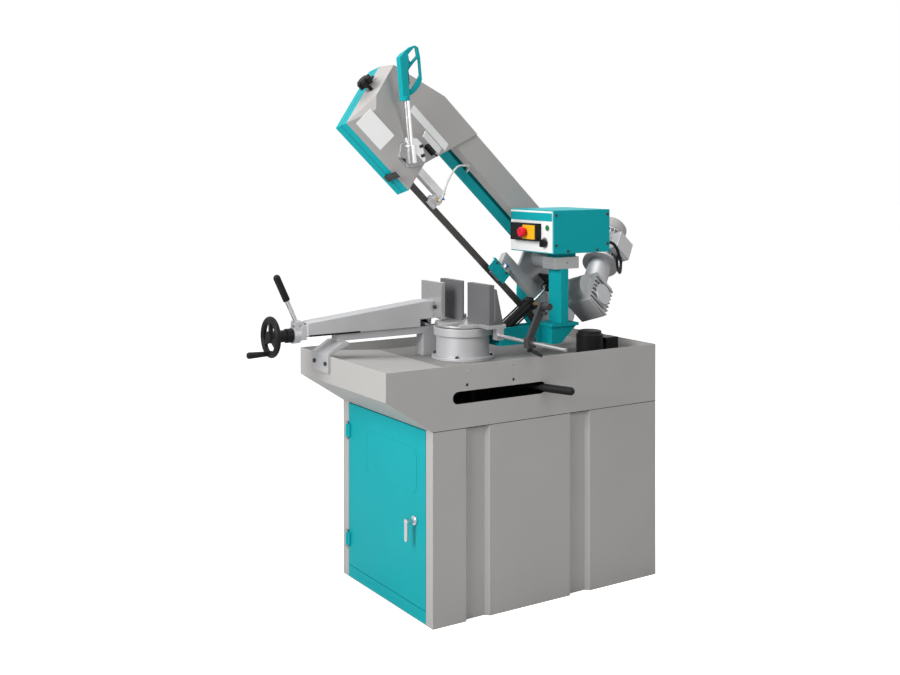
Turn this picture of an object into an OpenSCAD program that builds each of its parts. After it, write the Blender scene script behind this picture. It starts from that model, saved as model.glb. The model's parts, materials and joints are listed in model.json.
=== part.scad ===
// Swing-head mitre band saw for metal on a sheet-steel cabinet.
// Frame: origin on the floor under the middle of the cabinet, +X from the door end to the
// drive end, +Y to the side away from the operator, +Z up. Millimetres. The saw head is
// drawn raised, with its hinge turned by raise_angle from the level cutting position.

/* [Cabinet] */
// Length of the cabinet along X
cab_l = 1022; // [980:1:1100]
// Width of the cabinet along Y
cab_w = 668; // [640:1:720]
// Height of the cabinet
cab_h = 678; // [640:1:690]
// Thickness of the sheet steel
sheet = 3; // [2:0.5:4]
// Depth of the pressed channels in the long sides
rib_depth = 16; // [8:1:24]
// Width of each front post beside the door
post_w = 45; // [35:1:60]
// Height of the plinth strip under the door
plinth_h = 46; // [36:1:60]
// Thickness of the folded door
door_t = 22; // [16:1:30]
// Gap round the door
door_gap = 3; // [2:0.5:5]

/* [Tray] */
// Height of the tray rim above the floor
rim_z = 900; // [880:1:930]
// Overhang of the tray past the door end
tray_over = 185; // [150:1:220]
// Height of the tray end wall
tray_end_h = 101; // [90:1:130]
// Depth of the basin below the rim
basin_depth = 38; // [30:1:50]
// Length of the sloped part of the basin floor
slope_l = 340; // [280:1:380]
// Length of the slot for the mitre lever
slot_l = 404; // [390:1:440]
// Height of the slot for the mitre lever
slot_h = 44; // [36:1:56]
// Height of the middle of the slot
slot_z = 786; // [770:1:800]
// Spacing along X of the holes for a roller table
roller_dx = 200; // [160:1:240]
// Spacing along Z of the holes for a roller table
roller_dz = 51; // [40:1:60]
// Radius of the holes for a roller table
roller_hole_r = 5.5; // [4:0.5:7]

/* [Turret and table] */
// Place of the swivel axis along X
swivel_x = -170; // [-200:1:-150]
// Radius of the turret that stands in the basin
turret_r = 102; // [92:1:104]
// Radius of the turret neck inside the swivel ring
neck_r = 86; // [76:1:90]
// Outer radius of the swivel ring
ring_r = 112; // [108:1:114]
// Height of the swivel ring
ring_h = 30; // [24:1:34]
// Radius of the round table
table_r = 108; // [104:1:116]
// Height of the table surface above the floor
table_z = 1000; // [990:1:1010]
// Thickness of the table
table_t = 15; // [13:1:18]
// Largest mitre angle
mitre_max = 45; // [30:1:45]
// Depth of the kerf recess in the table
kerf_depth = 8; // [7:0.5:10]
// Distance from the swivel axis to the face of the fixed jaws
jaw_x = 10; // [8:1:16]
// Height of the fixed jaws
jaw_h = 150; // [120:1:160]

/* [Head] */
// Angle of the raised head above level
raise_angle = 43.5; // [40:0.5:44]
// Place of the head hinge along X
hinge_x = 225; // [215:1:235]
// Height of the head hinge
hinge_z = 1218; // [1210:1:1225]
// Tilt of the wheel plane away from upright
loop_tilt = 24; // [22:1:26]
// Diameter of the blade loop round each wheel
wheel_d = 280; // [270:1:284]
// Width of the wheel rims
wheel_w = 24; // [20:1:26]
// Distance from the hinge to the idler wheel along the blade
idler_reach = 864; // [850:1:880]
// Distance from the hinge to the drive wheel along the blade
drive_reach = 150; // [148:1:156]
// Width of the blade
blade_w = 27; // [20:1:27]
// Thickness of the blade
blade_t = 0.9; // [0.6:0.1:1.3]
// Depth that the teeth sink below the table surface
kerf_bite = 4; // [3:0.5:5]
// Radius of the head hinge shaft
shaft_r = 17.5; // [14:0.5:19]
// Height of the bow beam across its face
beam_h = 138; // [120:1:140]
// Thickness of the bow beam
beam_t = 54; // [44:1:56]
// Wall of the castings
cast_wall = 5; // [4:0.5:7]

/* [Drive] */
// Distance from the drive shaft to the worm shaft
worm_offset = 60; // [58:1:64]
// Radius of the motor body
motor_r = 64; // [56:1:66]
// Length of the motor body
motor_l = 168; // [150:1:190]

/* [Vice] */
// Distance of the vice from the blade plane
vice_y = 138; // [132:1:146]
// Radius of the vice spindle
spindle_r = 11; // [9:0.5:13]
// Radius of the handwheel
handwheel_r = 75; // [65:1:85]
// Opening of the vice as drawn
vice_gap = 60; // [55:1:70]

/* [Hidden] */
$fn = 64;

grey_paint = [0.60, 0.59, 0.57];
teal_paint = [0.07, 0.68, 0.70];
cast_alu = [0.68, 0.68, 0.66];
bright_steel = [0.76, 0.77, 0.78];
dark_steel = [0.30, 0.30, 0.31];
black_plastic = [0.12, 0.12, 0.13];
blade_steel = [0.36, 0.33, 0.30];

// Clearances: running is radial, on shafts in their bores; apart keeps two bodies from touching
running = 0.05;
apart = 0.3;
eps = 0.01;

// Cabinet and tray places
door_x = -cab_l / 2;
near_y = -cab_w / 2;
door_half = cab_w / 2 - post_w;
rib_spans = [[-375, -273], [87, 182]];
rib_slope = 14;
pin_r = 4;
knuckle_r = 7;
hinge_axis = [door_x - knuckle_r, door_half];
hinge_zs = [150, 570];
knuckle_h = 50;
door_z0 = plinth_h + door_gap;
door_z1 = cab_h - 4;
handle_y = -door_half + 74;
handle_z = 347;
spindle_door_r = 8;
tray_x0 = door_x - tray_over;
basin_z = rim_z - basin_depth;
slope_top = rim_z - 12;
slot_x = swivel_x - 57;
roller_x = -269;
roller_z = 854;
pump_x = cab_l / 2 - 221;

// Turret stack from the basin floor up to the table
table_z0 = table_z - table_t;
ring_z1 = table_z0 - 3;
ring_z0 = ring_z1 - ring_h;
pin_post_r = 16;
lever_z = slot_z;
lever_hub_r = 34;

// Head frames: u runs along the blade from the idler to the drive wheel, v across the wheel plane
// from the cutting run to the return run, n towards the operator
hinge_drop = hinge_z - table_z - blade_w / 2 + kerf_bite;
wheel_v = wheel_d / 2;
idler_u = -idler_reach;
drive_u = drive_reach;
front_u = -544;
wheel_r = wheel_d / 2 - blade_t / 2 - apart;

// Bow beam and housings, across v and n
beam_v1 = 385;
beam_v0 = beam_v1 - beam_h;
beam_n1 = 78;
beam_n0 = beam_n1 - beam_t;
beam_end_u = 60;
back_n = 18;
plate_t = 12;
cover_n0 = -40;
cover_wall = 3;
face_n = 82;
slope_room = 7;
gap_n = 44;
// The housing stands round the idler wheel and ends at front_u
end_u0 = idler_u - 165;
top_u = idler_u + 111;
mouth_u = idler_u + 190;
housing_base = [[end_u0, -48], [mouth_u, -48], [idler_u + 164, 49], [front_u, 378], [front_u + 2, 392],
    [top_u, 398], [end_u0, 285]];
housing_back = [[end_u0, -48], [idler_u + 120, -48], [front_u, 378], [front_u + 2, 392], [top_u, 398], [end_u0, 285]];
housing_face = [[idler_u - 147, 100], [idler_u - 120, 45], [idler_u + 162, 45], [front_u, 385], [top_u, 385],
    [idler_u - 147, 281]];
drive_ring = wheel_d / 2 + 8;

// Gear train along n and v
gear_n0 = 112;
gear_n1 = 238;
gear_n = (gear_n0 + gear_n1) / 2;
gear_r = 48;
worm_u = drive_u + worm_offset;
worm_wheel_r = 40;
worm_r = worm_offset - worm_wheel_r - apart;
drive_shaft_r = 15;
worm_core_r = 9;
motor_v0 = wheel_v + 182;
flange_t = 12;
fan_l = 62;
motor_bore_r = 18;
term_lo = [worm_u - 44, motor_v0 + 30, gear_n + motor_r];
term_hi = [worm_u + 44, motor_v0 + 118, gear_n + motor_r + 44];

// Swivel arm channel, column and control box
channel_z0 = 907;
channel_wall = 10;
cyl_y = -62;
channel_half = 38;
channel_x1 = 172;
column_x = [172, 210];
column_y = [-170, -92];
column_z0 = table_z0;
block_z = [hinge_z - 23, hinge_z + 23];
block_x = [hinge_x - 83, hinge_x + 37];
box_lo = [72, -254, hinge_z + 44];
box_hi = [346, 22, hinge_z + 209];
box_wall = 2.5;
panel_t = 3;

// Feed cylinder: foot pin on the arm, eye under the head
foot = [-40, cyl_y, 955];
eye = [183, cyl_y, 1113];
cyl_angle = atan2(eye[2] - foot[2], eye[0] - foot[0]);
cyl_len = norm(eye - foot);
barrel_l = 188;
barrel_r = 20;
bore_r = 14;
rod_r = 8;
foot_pin_r = 6;
eye_r = 13;
eye_t = 16;
cheek_t = 8;
cheek_gap = eye_t + 2;

// Head guides
guide_u = -534;
guide_v = [26, 66];
guide_n = [22, 40];
fixed_u = [-174, -120];

// Vice places
screw_z = 979;
rail_z = [947, 975];
rail_half = 26;
jaw_face = swivel_x + jaw_x;
plate_x1 = jaw_face - vice_gap;
plate_t2 = 18;
vice_x1 = plate_x1 - plate_t2;
vice_x0 = -776;
vice_relief = vice_gap;
hub_x0 = -822;
hub_r = 30;
wheel_x = -905;
rail_x = [-649, -200];
lever_foot = [-800, 1016];

// Bar stop
stop_x = -110;
stop_z = 958;
stop_rod_r = 7;
stop_y = -351;
stop_end_y = -560;
lug_y = [-166, -138];

// Routes of the hose and the cable, in the row frame
function hinge_at(p) = [hinge_x + p[0] * cos(raise_angle) + p[2] * sin(raise_angle), p[1],
    hinge_z - p[0] * sin(raise_angle) + p[2] * cos(raise_angle)];
function loop_at(p) = hinge_at([p[0], p[1] * sin(loop_tilt) - p[2] * cos(loop_tilt),
    p[1] * cos(loop_tilt) + p[2] * sin(loop_tilt) - hinge_drop]);
hose_start = hinge_at([guide_u - 20, -32 - apart, 26 - hinge_drop]);
hose_bends = [[0, -12, 0], [2, -24, 8], [6, -34, 30], [14, -40, 62], [34, -42, 98], [66, -38, 126]];
hose_route = concat([hose_start], [for (b = hose_bends) hose_start + b],
    [loop_at([guide_u - 14, beam_v0 - 66, 108]), loop_at([guide_u + 14, beam_v0 - 34, 90]),
    loop_at([guide_u + 34, beam_v0 - 22, 62]), loop_at([guide_u + 44, beam_v0 - 10, 42]),
    loop_at([guide_u + 46, beam_v0 + 10, 34])]);
cable_start = [box_hi[0] + 12.4, -214, box_lo[2] + 34];
cable_n = (term_lo[2] + term_hi[2]) / 2;
cable_end = loop_at([worm_u, term_lo[1] - 8.2, cable_n]);
cable_bends = [[20, 0, -1], [40, 0, -8], [56, -2, -26], [66, -4, -52], [74, -6, -82]];
cable_route = concat([cable_start], [for (b = cable_bends) cable_start + b],
    [cable_end + [-34, -52, -58], cable_end + [-26, -36, -62], cable_end + [-18, -18, -46],
    loop_at([worm_u, term_lo[1] - 30, cable_n]), cable_end]);

// Shape helpers
module span(lo, hi) translate(lo) cube(hi - lo);
module along_x() rotate([0, 90, 0]) children();
module along_y() rotate([-90, 0, 0]) children();
module rod_x(p, r, l) translate(p) along_x() cylinder(h = l, r = r);
module rod_y(p, r, l) translate(p) along_y() cylinder(h = l, r = r);
module rod_z(p, r, l) translate(p) cylinder(h = l, r = r);
module slot2d(l, w) {
    square([l - w, w], center = true);
    for (s = [-1, 1]) translate([s * (l - w) / 2, 0]) circle(d = w);
}
// Plate with rounded corners, centred, in the XY plane
module round_plate(size, r, t) linear_extrude(t) {
    square([size[0] - 2 * r, size[1]], center = true);
    square([size[0], size[1] - 2 * r], center = true);
    for (x = [-1, 1], y = [-1, 1]) translate([x * (size[0] / 2 - r), y * (size[1] / 2 - r)]) circle(r);
}
// Frame at the head hinge: x along the blade, y along the hinge, z square to the blade
module at_hinge() translate([hinge_x, 0, hinge_z]) rotate([0, raise_angle, 0]) children();
// Frame of the wheel plane: x = u from the hinge, y = v, z = n
module at_loop() at_hinge() translate([0, 0, -hinge_drop]) rotate([90 - loop_tilt, 0, 0]) children();
// Extrudes an outline in the wheel plane between two values of n
module loop_slab(n0, n1) translate([0, 0, n0]) linear_extrude(n1 - n0) children();

// Sweeps a tube with the given number of sides along a route
function unit(a) = a / norm(a);
function tangent(p, i) = unit(p[min(i + 1, len(p) - 1)] - p[max(i - 1, 0)]);
function side_of(t) = unit(cross(t, abs(t[2]) < 0.9 ? [0, 0, 1] : [1, 0, 0]));
function next_side(s, t) = unit(s - t * (s * t));
function sides(p, i) = i == 0 ? side_of(tangent(p, 0)) : next_side(sides(p, i - 1), tangent(p, i));
module tube(p, r, m) {
    count = len(p);
    ring = [for (i = [0 : count - 1]) let (t = tangent(p, i), a = sides(p, i), b = cross(t, a))
        for (k = [0 : m - 1]) p[i] + r * (a * cos(k * 360 / m) + b * sin(k * 360 / m))];
    walls = [for (i = [0 : count - 2], k = [0 : m - 1]) let (q = (k + 1) % m)
        [i * m + k, (i + 1) * m + k, (i + 1) * m + q, i * m + q]];
    polyhedron(ring, concat(walls, [[for (k = [0 : m - 1]) k]],
        [[for (k = [m - 1 : -1 : 0]) (count - 1) * m + k]]));
}

// Cabinet plan with its pressed channels, inset by the given amount
function side_line(t) = [[door_x + t, near_y + t],
    each [for (s = rib_spans) each [[s[0] - t / 2, near_y + t], [s[0] + rib_slope - t / 2, near_y + rib_depth + t],
        [s[1] - rib_slope + t / 2, near_y + rib_depth + t], [s[1] + t / 2, near_y + t]]],
    [-door_x - t, near_y + t]];
function plan(t) = let (near = side_line(t))
    concat(near, [for (i = [len(near) - 1 : -1 : 0]) [near[i][0], -near[i][1]]]);

module cabinet() color(grey_paint) {
    difference() {
        linear_extrude(cab_h) polygon(plan(0));
        translate([0, 0, sheet]) linear_extrude(cab_h) polygon(plan(sheet));
        span([door_x - 1, -door_half, sheet], [door_x + sheet + 1, door_half, cab_h + 1]);
    }
    // Folded returns of the posts
    for (s = [-1, 1]) span([door_x + sheet, s * door_half + (s < 0 ? -sheet : 0), sheet],
        [door_x + 26, s * door_half + (s < 0 ? 0 : sheet), cab_h]);
    // Hinge lugs with their pins
    for (z = hinge_zs) {
        for (e = [-1, 1]) difference() {
            span([hinge_axis[0] - knuckle_r, hinge_axis[1] - 1, z + e * (knuckle_h / 2 + 4) - 3.5],
                [door_x, hinge_axis[1] + knuckle_r + 3, z + e * (knuckle_h / 2 + 4) + 3.5]);
            span([door_x - knuckle_r, hinge_axis[1] - 2, z - 1], [door_x + 1, hinge_axis[1] - 1, z + 1]);
        }
        // Root of each lug, sunk in the post
        for (e = [-1, 1]) span([door_x - 1, hinge_axis[1] + 1, z + e * (knuckle_h / 2 + 4) - 3],
            [door_x + sheet / 2, hinge_axis[1] + knuckle_r + 2, z + e * (knuckle_h / 2 + 4) + 3]);
        rod_z([hinge_axis[0], hinge_axis[1], z - knuckle_h / 2 - 7], pin_r, knuckle_h + 14);
    }
}

module plinth() color(teal_paint) {
    span([door_x, -door_half, sheet], [door_x + sheet, door_half, plinth_h]);
    span([door_x + sheet, -door_half, plinth_h - sheet], [door_x + 26, door_half, plinth_h]);
}

module door() color(teal_paint) difference() {
    union() {
        difference() {
            span([door_x, -door_half + door_gap, door_z0], [door_x + door_t, door_half - door_gap, door_z1]);
            span([door_x + sheet, -door_half + door_gap + sheet, door_z0 + sheet],
                [door_x + door_t + 1, door_half - door_gap - sheet, door_z1 - sheet]);
        }
        for (z = hinge_zs) {
            rod_z([hinge_axis[0], hinge_axis[1], z - knuckle_h / 2], knuckle_r - 1, knuckle_h);
            span([hinge_axis[0], hinge_axis[1] - 20, z - knuckle_h / 2],
                [door_x + 1, hinge_axis[1] - door_gap - 1, z + knuckle_h / 2]);
            span([hinge_axis[0] - 1, hinge_axis[1] - 20, z - knuckle_h / 2],
                [hinge_axis[0] + 2, hinge_axis[1], z + knuckle_h / 2]);
        }
    }
    for (z = hinge_zs) rod_z([hinge_axis[0], hinge_axis[1], z - knuckle_h], pin_r + running, 2 * knuckle_h);
    rod_x([door_x - 1, handle_y, handle_z], spindle_door_r + running, door_t + 2);
}

module door_handle() color(bright_steel) {
    rod_x([door_x - 38, handle_y, handle_z], spindle_door_r, 38 + door_t);
    rod_x([door_x - 6 - apart, handle_y, handle_z], 17, 6);
    translate([door_x - 40, handle_y, handle_z]) along_x() cylinder(h = 14, r = 11);
    translate([door_x - 40, handle_y, handle_z]) rotate([0, 90, 0]) linear_extrude(9)
        translate([30, 0]) slot2d(80, 17);
    // Cam behind the post
    span([door_x + door_t - 4, handle_y - post_w - 22, handle_z - 10], [door_x + door_t, handle_y + 10, handle_z + 10]);
}

module tray() color(grey_paint) difference() {
    translate([0, cab_w / 2, 0]) rotate([90, 0, 0]) linear_extrude(cab_w)
        polygon([[tray_x0, rim_z - tray_end_h], [door_x, cab_h], [-door_x, cab_h], [-door_x, rim_z], [tray_x0, rim_z]]);
    // Basin
    translate([0, cab_w / 2 - sheet, 0]) rotate([90, 0, 0]) linear_extrude(cab_w - 2 * sheet)
        polygon([[tray_x0 + sheet, slope_top], [tray_x0 + slope_l, basin_z], [-door_x - sheet, basin_z],
            [-door_x - sheet, rim_z + 1], [tray_x0 + sheet, rim_z + 1]]);
    // Space under the basin floor
    translate([0, cab_w / 2 - sheet, 0]) rotate([90, 0, 0]) linear_extrude(cab_w - 2 * sheet)
        polygon([[tray_x0 + sheet, rim_z - tray_end_h + sheet], [tray_x0 + sheet, slope_top - sheet],
            [tray_x0 + slope_l, basin_z - sheet], [-door_x - sheet, basin_z - sheet], [-door_x - sheet, cab_h - 1],
            [door_x + sheet, cab_h - 1], [door_x + sheet, cab_h + 2]]);
    // Slot for the mitre lever
    translate([slot_x, near_y - 1, slot_z]) rotate([-90, 0, 0]) linear_extrude(sheet + 2) slot2d(slot_l, slot_h);
    for (x = [-1, 1], z = [-1, 1])
        rod_y([roller_x + x * roller_dx / 2, near_y - 1, roller_z + z * roller_dz / 2], roller_hole_r, sheet + 2);
    rod_z([swivel_x, 0, basin_z - sheet - 1], pin_post_r + 1, sheet + 2);
}

module turret() color(cast_alu) {
    difference() {
        union() {
            rod_z([swivel_x, 0, basin_z], turret_r + 18, 12);
            rod_z([swivel_x, 0, basin_z + 12], turret_r, ring_z0 - apart - basin_z - 12);
            rod_z([swivel_x, 0, ring_z0 - apart], neck_r, table_z0 - ring_z0 + apart);
        }
        for (a = [45 : 90 : 315]) translate([swivel_x, 0, 0]) rotate(a)
            rod_z([turret_r + 9, 0, basin_z + 6], 6, 8);
        rod_z([swivel_x, 0, basin_z - 1], pin_post_r, 20);
    }
    // Clamp post that carries the mitre lever under the basin
    rod_z([swivel_x, 0, lever_z - 40], pin_post_r, basin_z + 19 - lever_z + 40);
    rod_z([swivel_x, 0, lever_z - 40], lever_hub_r - 6, 18);
}

// Footprint of the far jaw: its inner side leans away so that the mitred blade can pass
far_jaw = [[jaw_face, 16], [jaw_face, 180], [jaw_face + 64, 180], [jaw_face + 64, 16 + 64 * tan(mitre_max + 3)]];
near_jaw = [[jaw_face, -16], [jaw_face, -164], [jaw_face + 64, -164], [jaw_face + 64, -16]];

module table_plate() color(cast_alu) difference() {
    union() {
        rod_z([swivel_x, 0, table_z0], table_r, table_t);
        span([jaw_face - 6, lug_y[0], table_z0], [jaw_face + 76, 182, table_z]);
        // Lug for the stop rod
        span([stop_x - 16, lug_y[0], stop_z - 16], [stop_x + 16, lug_y[1], table_z0]);
    }
    rod_y([stop_x, lug_y[0] - 1, stop_z], stop_rod_r, lug_y[1] - lug_y[0] + 2);
    // Kerf recess swept by the blade from the square cut to the largest mitre
    for (side = [0, 180]) translate([swivel_x, 0, table_z - kerf_depth]) rotate(side) linear_extrude(kerf_depth + 1)
        polygon([[-8, -5], [260, -5], [260, 5], [260 * cos(mitre_max) - 5, 260 * sin(mitre_max) + 5], [-8, 5]]);
}

module jaw_block(plan_points, outer_y, inner_y) {
    translate([0, 0, table_z]) linear_extrude(14) polygon(plan_points);
    // Upright face plate
    translate([0, 0, table_z + 14]) linear_extrude(jaw_h - 14) intersection() {
        polygon(plan_points);
        translate([jaw_face, -300]) square([24, 600]);
    }
    // Gusset behind the face plate
    for (y = [outer_y - 10, (outer_y + inner_y) / 2 - 10]) translate([0, y + 20, table_z + 14]) rotate([90, 0, 0])
        linear_extrude(20) polygon([[jaw_face + 24, 0], [jaw_face + 60, 0], [jaw_face + 32, jaw_h - 30],
            [jaw_face + 24, jaw_h - 30]]);
}
module fixed_jaws() color(dark_steel) {
    jaw_block(far_jaw, 164, 120);
    jaw_block(near_jaw, -158, -30);
}

module vice_rail() color(cast_alu) {
    difference() {
        span([rail_x[0], vice_y - rail_half, rail_z[0]], [rail_x[1], vice_y + rail_half, rail_z[1] - apart]);
        span([rail_x[0] - 1, vice_y - spindle_r - 3, rail_z[0] + 8], [rail_x[1] + 1, vice_y + spindle_r + 3, rail_z[1] + 1]);
    }
    // Fixed nut of the spindle
    difference() {
        span([rail_x[0] + 2, vice_y - 22, rail_z[0] + 8], [rail_x[0] + 32, vice_y + 22, 997]);
        rod_x([rail_x[0], vice_y, screw_z], spindle_r + running, 40);
    }
    // Leg on the end wall of the tray
    translate([0, vice_y + 60, 0]) rotate([90, 0, 0]) linear_extrude(120)
        polygon([[tray_x0 - 12, 838], [tray_x0 - 12, rim_z + 10], [rail_x[0], rail_z[0]], [rail_x[0] + 30, rail_z[0]],
            [rail_x[0] + 30, rail_z[0] - 12], [tray_x0, rim_z + 2], [tray_x0, 838]]);
    // Foot in the basin
    span([rail_x[1] - 80, vice_y - rail_half, basin_z], [rail_x[1] - 20, vice_y + rail_half, rail_z[0]]);
}

module coolant_pump() color(black_plastic) {
    rod_z([pump_x, -200, basin_z], 52, 80);
    rod_z([pump_x, -200, basin_z + 80], 46, 12);
    span([pump_x + 56, -232, basin_z], [pump_x + 120, -168, basin_z + 62]);
    span([pump_x + 40, -222, basin_z], [pump_x + 60, -178, basin_z + 40]);
}

module stop_rod() color(bright_steel) {
    rod_y([stop_x, stop_end_y, stop_z], stop_rod_r, lug_y[1] - stop_end_y);
}

// Screw heads on the stand, one group
module stand_screws() color(dark_steel) {
    for (y = [-45, 45], z = [872]) rod_x([tray_x0 - 18, vice_y + y, z], 8, 6);
    for (a = [45 : 90 : 315]) translate([swivel_x, 0, 0]) rotate(a) rod_z([turret_r + 9, 0, basin_z + 6], 5.5, 14);
    for (y = [-140, 140]) rod_z([jaw_face + 70, y, table_z], 5, 6);
}

module mitre_lever() color(black_plastic) difference() {
    translate([swivel_x, 0, lever_z]) rotate(21) {
        translate([0, 0, -14]) cylinder(h = 28, r = lever_hub_r);
        span([-11, -350, -6], [11, 0, 6]);
        translate([0, -350, 0]) rotate([90, 0, 0]) cylinder(h = 18, r = 12);
        translate([0, -368, 0]) rotate([90, 0, 0]) cylinder(h = 110, r = 15);
        translate([0, -478, 0]) sphere(15);
    }
    rod_z([swivel_x, 0, lever_z - 20], pin_post_r + running, 40);
}

// Tapered moving casting of the vice with its hub
module vice_casting() color(cast_alu) difference() {
    union() {
        translate([0, vice_y + 38, 0]) rotate([90, 0, 0]) linear_extrude(76)
            polygon([[vice_x0, rail_z[1]], [vice_x0, 1024], [vice_x1 - 40, 1074], [vice_x1, 1074], [vice_x1, rail_z[1]]]);
        translate([0, vice_y + 30, 0]) rotate([90, 0, 0]) linear_extrude(60)
            polygon([[vice_x0 - 20, 962], [vice_x0 - 20, 1012], [vice_x0, 1016], [vice_x0, 962]]);
        rod_x([hub_x0, vice_y, screw_z], hub_r, vice_x0 - 20 - hub_x0);
        // Lever boss on the hub
        span([lever_foot[0] - 16, vice_y - 24, screw_z], [lever_foot[0] + 16, vice_y - 10, lever_foot[1] + 14]);
        span([lever_foot[0] - 16, vice_y + 10, screw_z], [lever_foot[0] + 16, vice_y + 24, lever_foot[1] + 14]);
    }
    // Hollow underside over the spindle, and the window between the ribs
    span([vice_x0 + 10, vice_y - 30, rail_z[1] - 1], [vice_x1 - 30, vice_y + 30, 1000]);
    // Relief at the near front corner, which passes the round table as the vice closes
    span([vice_x1 - vice_relief, vice_y - 39, rail_z[1] - 1], [vice_x1 + 1, ring_r + 6, table_z + 4]);
    rod_x([hub_x0 - 1, vice_y, screw_z], spindle_r + running, vice_x0 + 20 - hub_x0);
    span([lever_foot[0] - 17, vice_y - 10, screw_z + hub_r - 10], [lever_foot[0] + 17, vice_y + 10, lever_foot[1] + 20]);
    rod_y([lever_foot[0], vice_y - 25, lever_foot[1]], 6 + running, 50);
}

module jaw_plate() color(bright_steel) difference() {
    span([vice_x1, 48, table_z + 6], [plate_x1, 196, table_z + jaw_h - 4]);
    for (y = [88, 156]) rod_x([vice_x1 - 1, y, 1050], 5, plate_t2 + 2);
}

module vice_spindle() color(bright_steel) {
    rod_x([wheel_x + 16, vice_y, screw_z], spindle_r, -430 - wheel_x - 16);
    rod_x([hub_x0 - 26, vice_y, screw_z], 26, 26 - apart);
}

module handwheel() color(black_plastic) difference() {
    union() {
        translate([wheel_x, vice_y, screw_z]) along_x() rotate_extrude() translate([handwheel_r - 11, 0]) circle(11);
        rod_x([wheel_x - 12, vice_y, screw_z], 22, hub_x0 - 26 - wheel_x + 12);
        for (a = [0 : 120 : 240]) translate([wheel_x, vice_y, screw_z]) rotate([a, 0, 0])
            span([-6, -9, 12], [6, 9, handwheel_r - 9]);
        // Boss for the crank pin
        rod_x([wheel_x - 14, vice_y, screw_z - handwheel_r + 16], 10, 20);
    }
    rod_x([wheel_x + 16 - eps, vice_y, screw_z], spindle_r, 80);
    rod_x([wheel_x - 20, vice_y, screw_z - handwheel_r + 16], 5, 30);
}

module crank_grip() color(black_plastic) {
    rod_x([wheel_x - 16, vice_y, screw_z - handwheel_r + 16], 5 - running, 16);
    translate([wheel_x - 14 - apart, vice_y, screw_z - handwheel_r + 16]) rotate([0, -90, 0]) {
        cylinder(h = 70, r1 = 9, r2 = 12);
        translate([0, 0, 70]) cylinder(h = 6, r1 = 12, r2 = 9);
    }
}

module vice_lever() color(bright_steel) {
    rod_y([lever_foot[0], vice_y - 10 + apart, lever_foot[1]], 14, 20 - 2 * apart);
    rod_y([lever_foot[0], vice_y - 24, lever_foot[1]], 6, 48);
    translate([lever_foot[0], vice_y, lever_foot[1]]) rotate([0, -25, 0]) {
        rod_z([0, 0, 10], 9, 90);
        rod_z([0, 0, 100], 13, 92);
        translate([0, 0, 192]) sphere(13);
    }
}

module stop_arm() color(dark_steel) difference() {
    union() {
        span([stop_x - 18, stop_y - 14, stop_z - 20], [stop_x + 18, stop_y + 14, stop_z + 18]);
        translate([0, stop_y + 7, 0]) rotate([90, 0, 0]) linear_extrude(14)
            polygon([[stop_x - 14, stop_z + 18], [stop_x + 14, stop_z + 18], [stop_x + 74, stop_z + 128],
                [stop_x + 74, stop_z + 142], [stop_x + 46, stop_z + 142]]);
        rod_y([stop_x + 60, stop_y - 40, stop_z + 128], 13, 33);
        rod_y([stop_x + 52, stop_y - 30, stop_z + 104], 6, 60);
    }
    rod_y([stop_x, stop_y - 15, stop_z], stop_rod_r + running, 30);
    rod_z([stop_x, stop_y, stop_z - 30], 5 + running, 24);
}

module stop_lever() color(black_plastic) {
    rod_z([stop_x, stop_y, stop_z - 30], 5, 22);
    rod_z([stop_x, stop_y, stop_z - 34 - apart], 10, 14);
    translate([stop_x, stop_y, stop_z - 26]) rotate([0, 112, -60]) cylinder(h = 52, r = 6);
}

module swivel_arm() color(teal_paint) {
    rod_y([foot[0], cyl_y - channel_half - 3, foot[2]], foot_pin_r, 2 * channel_half + 6);
    swivel_casting();
}
module swivel_casting() difference() {
    union() {
        rod_z([swivel_x, 0, ring_z0], ring_r, ring_h);
        // Channel from the ring to the column
        span([swivel_x + neck_r + 4, cyl_y - channel_half, ring_z0], [-58, cyl_y + channel_half, ring_z1]);
        span([-66, cyl_y - channel_half, channel_z0], [channel_x1, cyl_y + channel_half, channel_z0 + channel_wall]);
        for (s = [-1, 1]) span([-66, cyl_y + s * (channel_half - channel_wall / 2) - channel_wall / 2, channel_z0],
            [s < 0 ? channel_x1 : 120, cyl_y + s * (channel_half - channel_wall / 2) + channel_wall / 2, ring_z1 - 6]);
        // Base plate of the column, and its gussets
        span([column_x[0] - 46, column_y[0] - 4, table_z0 - 12], [column_x[1] + 48, cyl_y - channel_half + 36, table_z0]);
        span([column_x[0] - 40, column_y[0] + 6, channel_z0], [column_x[0] - 28, cyl_y - channel_half + 10, table_z0 - 12]);
        for (y = [column_y[0] + 6, cyl_y - channel_half]) translate([0, y + 10, 0]) rotate([90, 0, 0]) linear_extrude(10)
            polygon([[column_x[0] - 40, channel_z0], [column_x[0] + 6, channel_z0], [column_x[1] + 44, table_z0 - 12],
                [column_x[0] - 40, table_z0 - 12]]);
    }
    rod_z([swivel_x, 0, ring_z0 - 1], neck_r + running, ring_h + 2);
    // Room for the cylinder and its foot pin
    span([-66 + channel_wall, cyl_y - channel_half + channel_wall, channel_z0 + channel_wall],
        [channel_x1 - 12, cyl_y + channel_half - channel_wall, ring_z1 + 1]);
    rod_z([swivel_x, 0, channel_z0 - 1], turret_r + 2, ring_z0 - channel_z0 + 1 - apart);
}

module column() color(teal_paint) difference() {
    span([column_x[0], column_y[0], column_z0], [column_x[1], column_y[1], block_z[0]]);
    span([column_x[0] + 6, column_y[0] + 6, column_z0 - 1], [column_x[1] + 1, column_y[1] - 6, block_z[0] - 8]);
}

module hinge_block() color(cast_alu) difference() {
    span([block_x[0], column_y[0], block_z[0]], [block_x[1], column_y[1], block_z[1]]);
    rod_y([hinge_x, column_y[0] + 12, hinge_z], shaft_r, 100);
    rod_y([hinge_x - 22, column_y[0] - 1, hinge_z], 3, 9);
}

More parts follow.
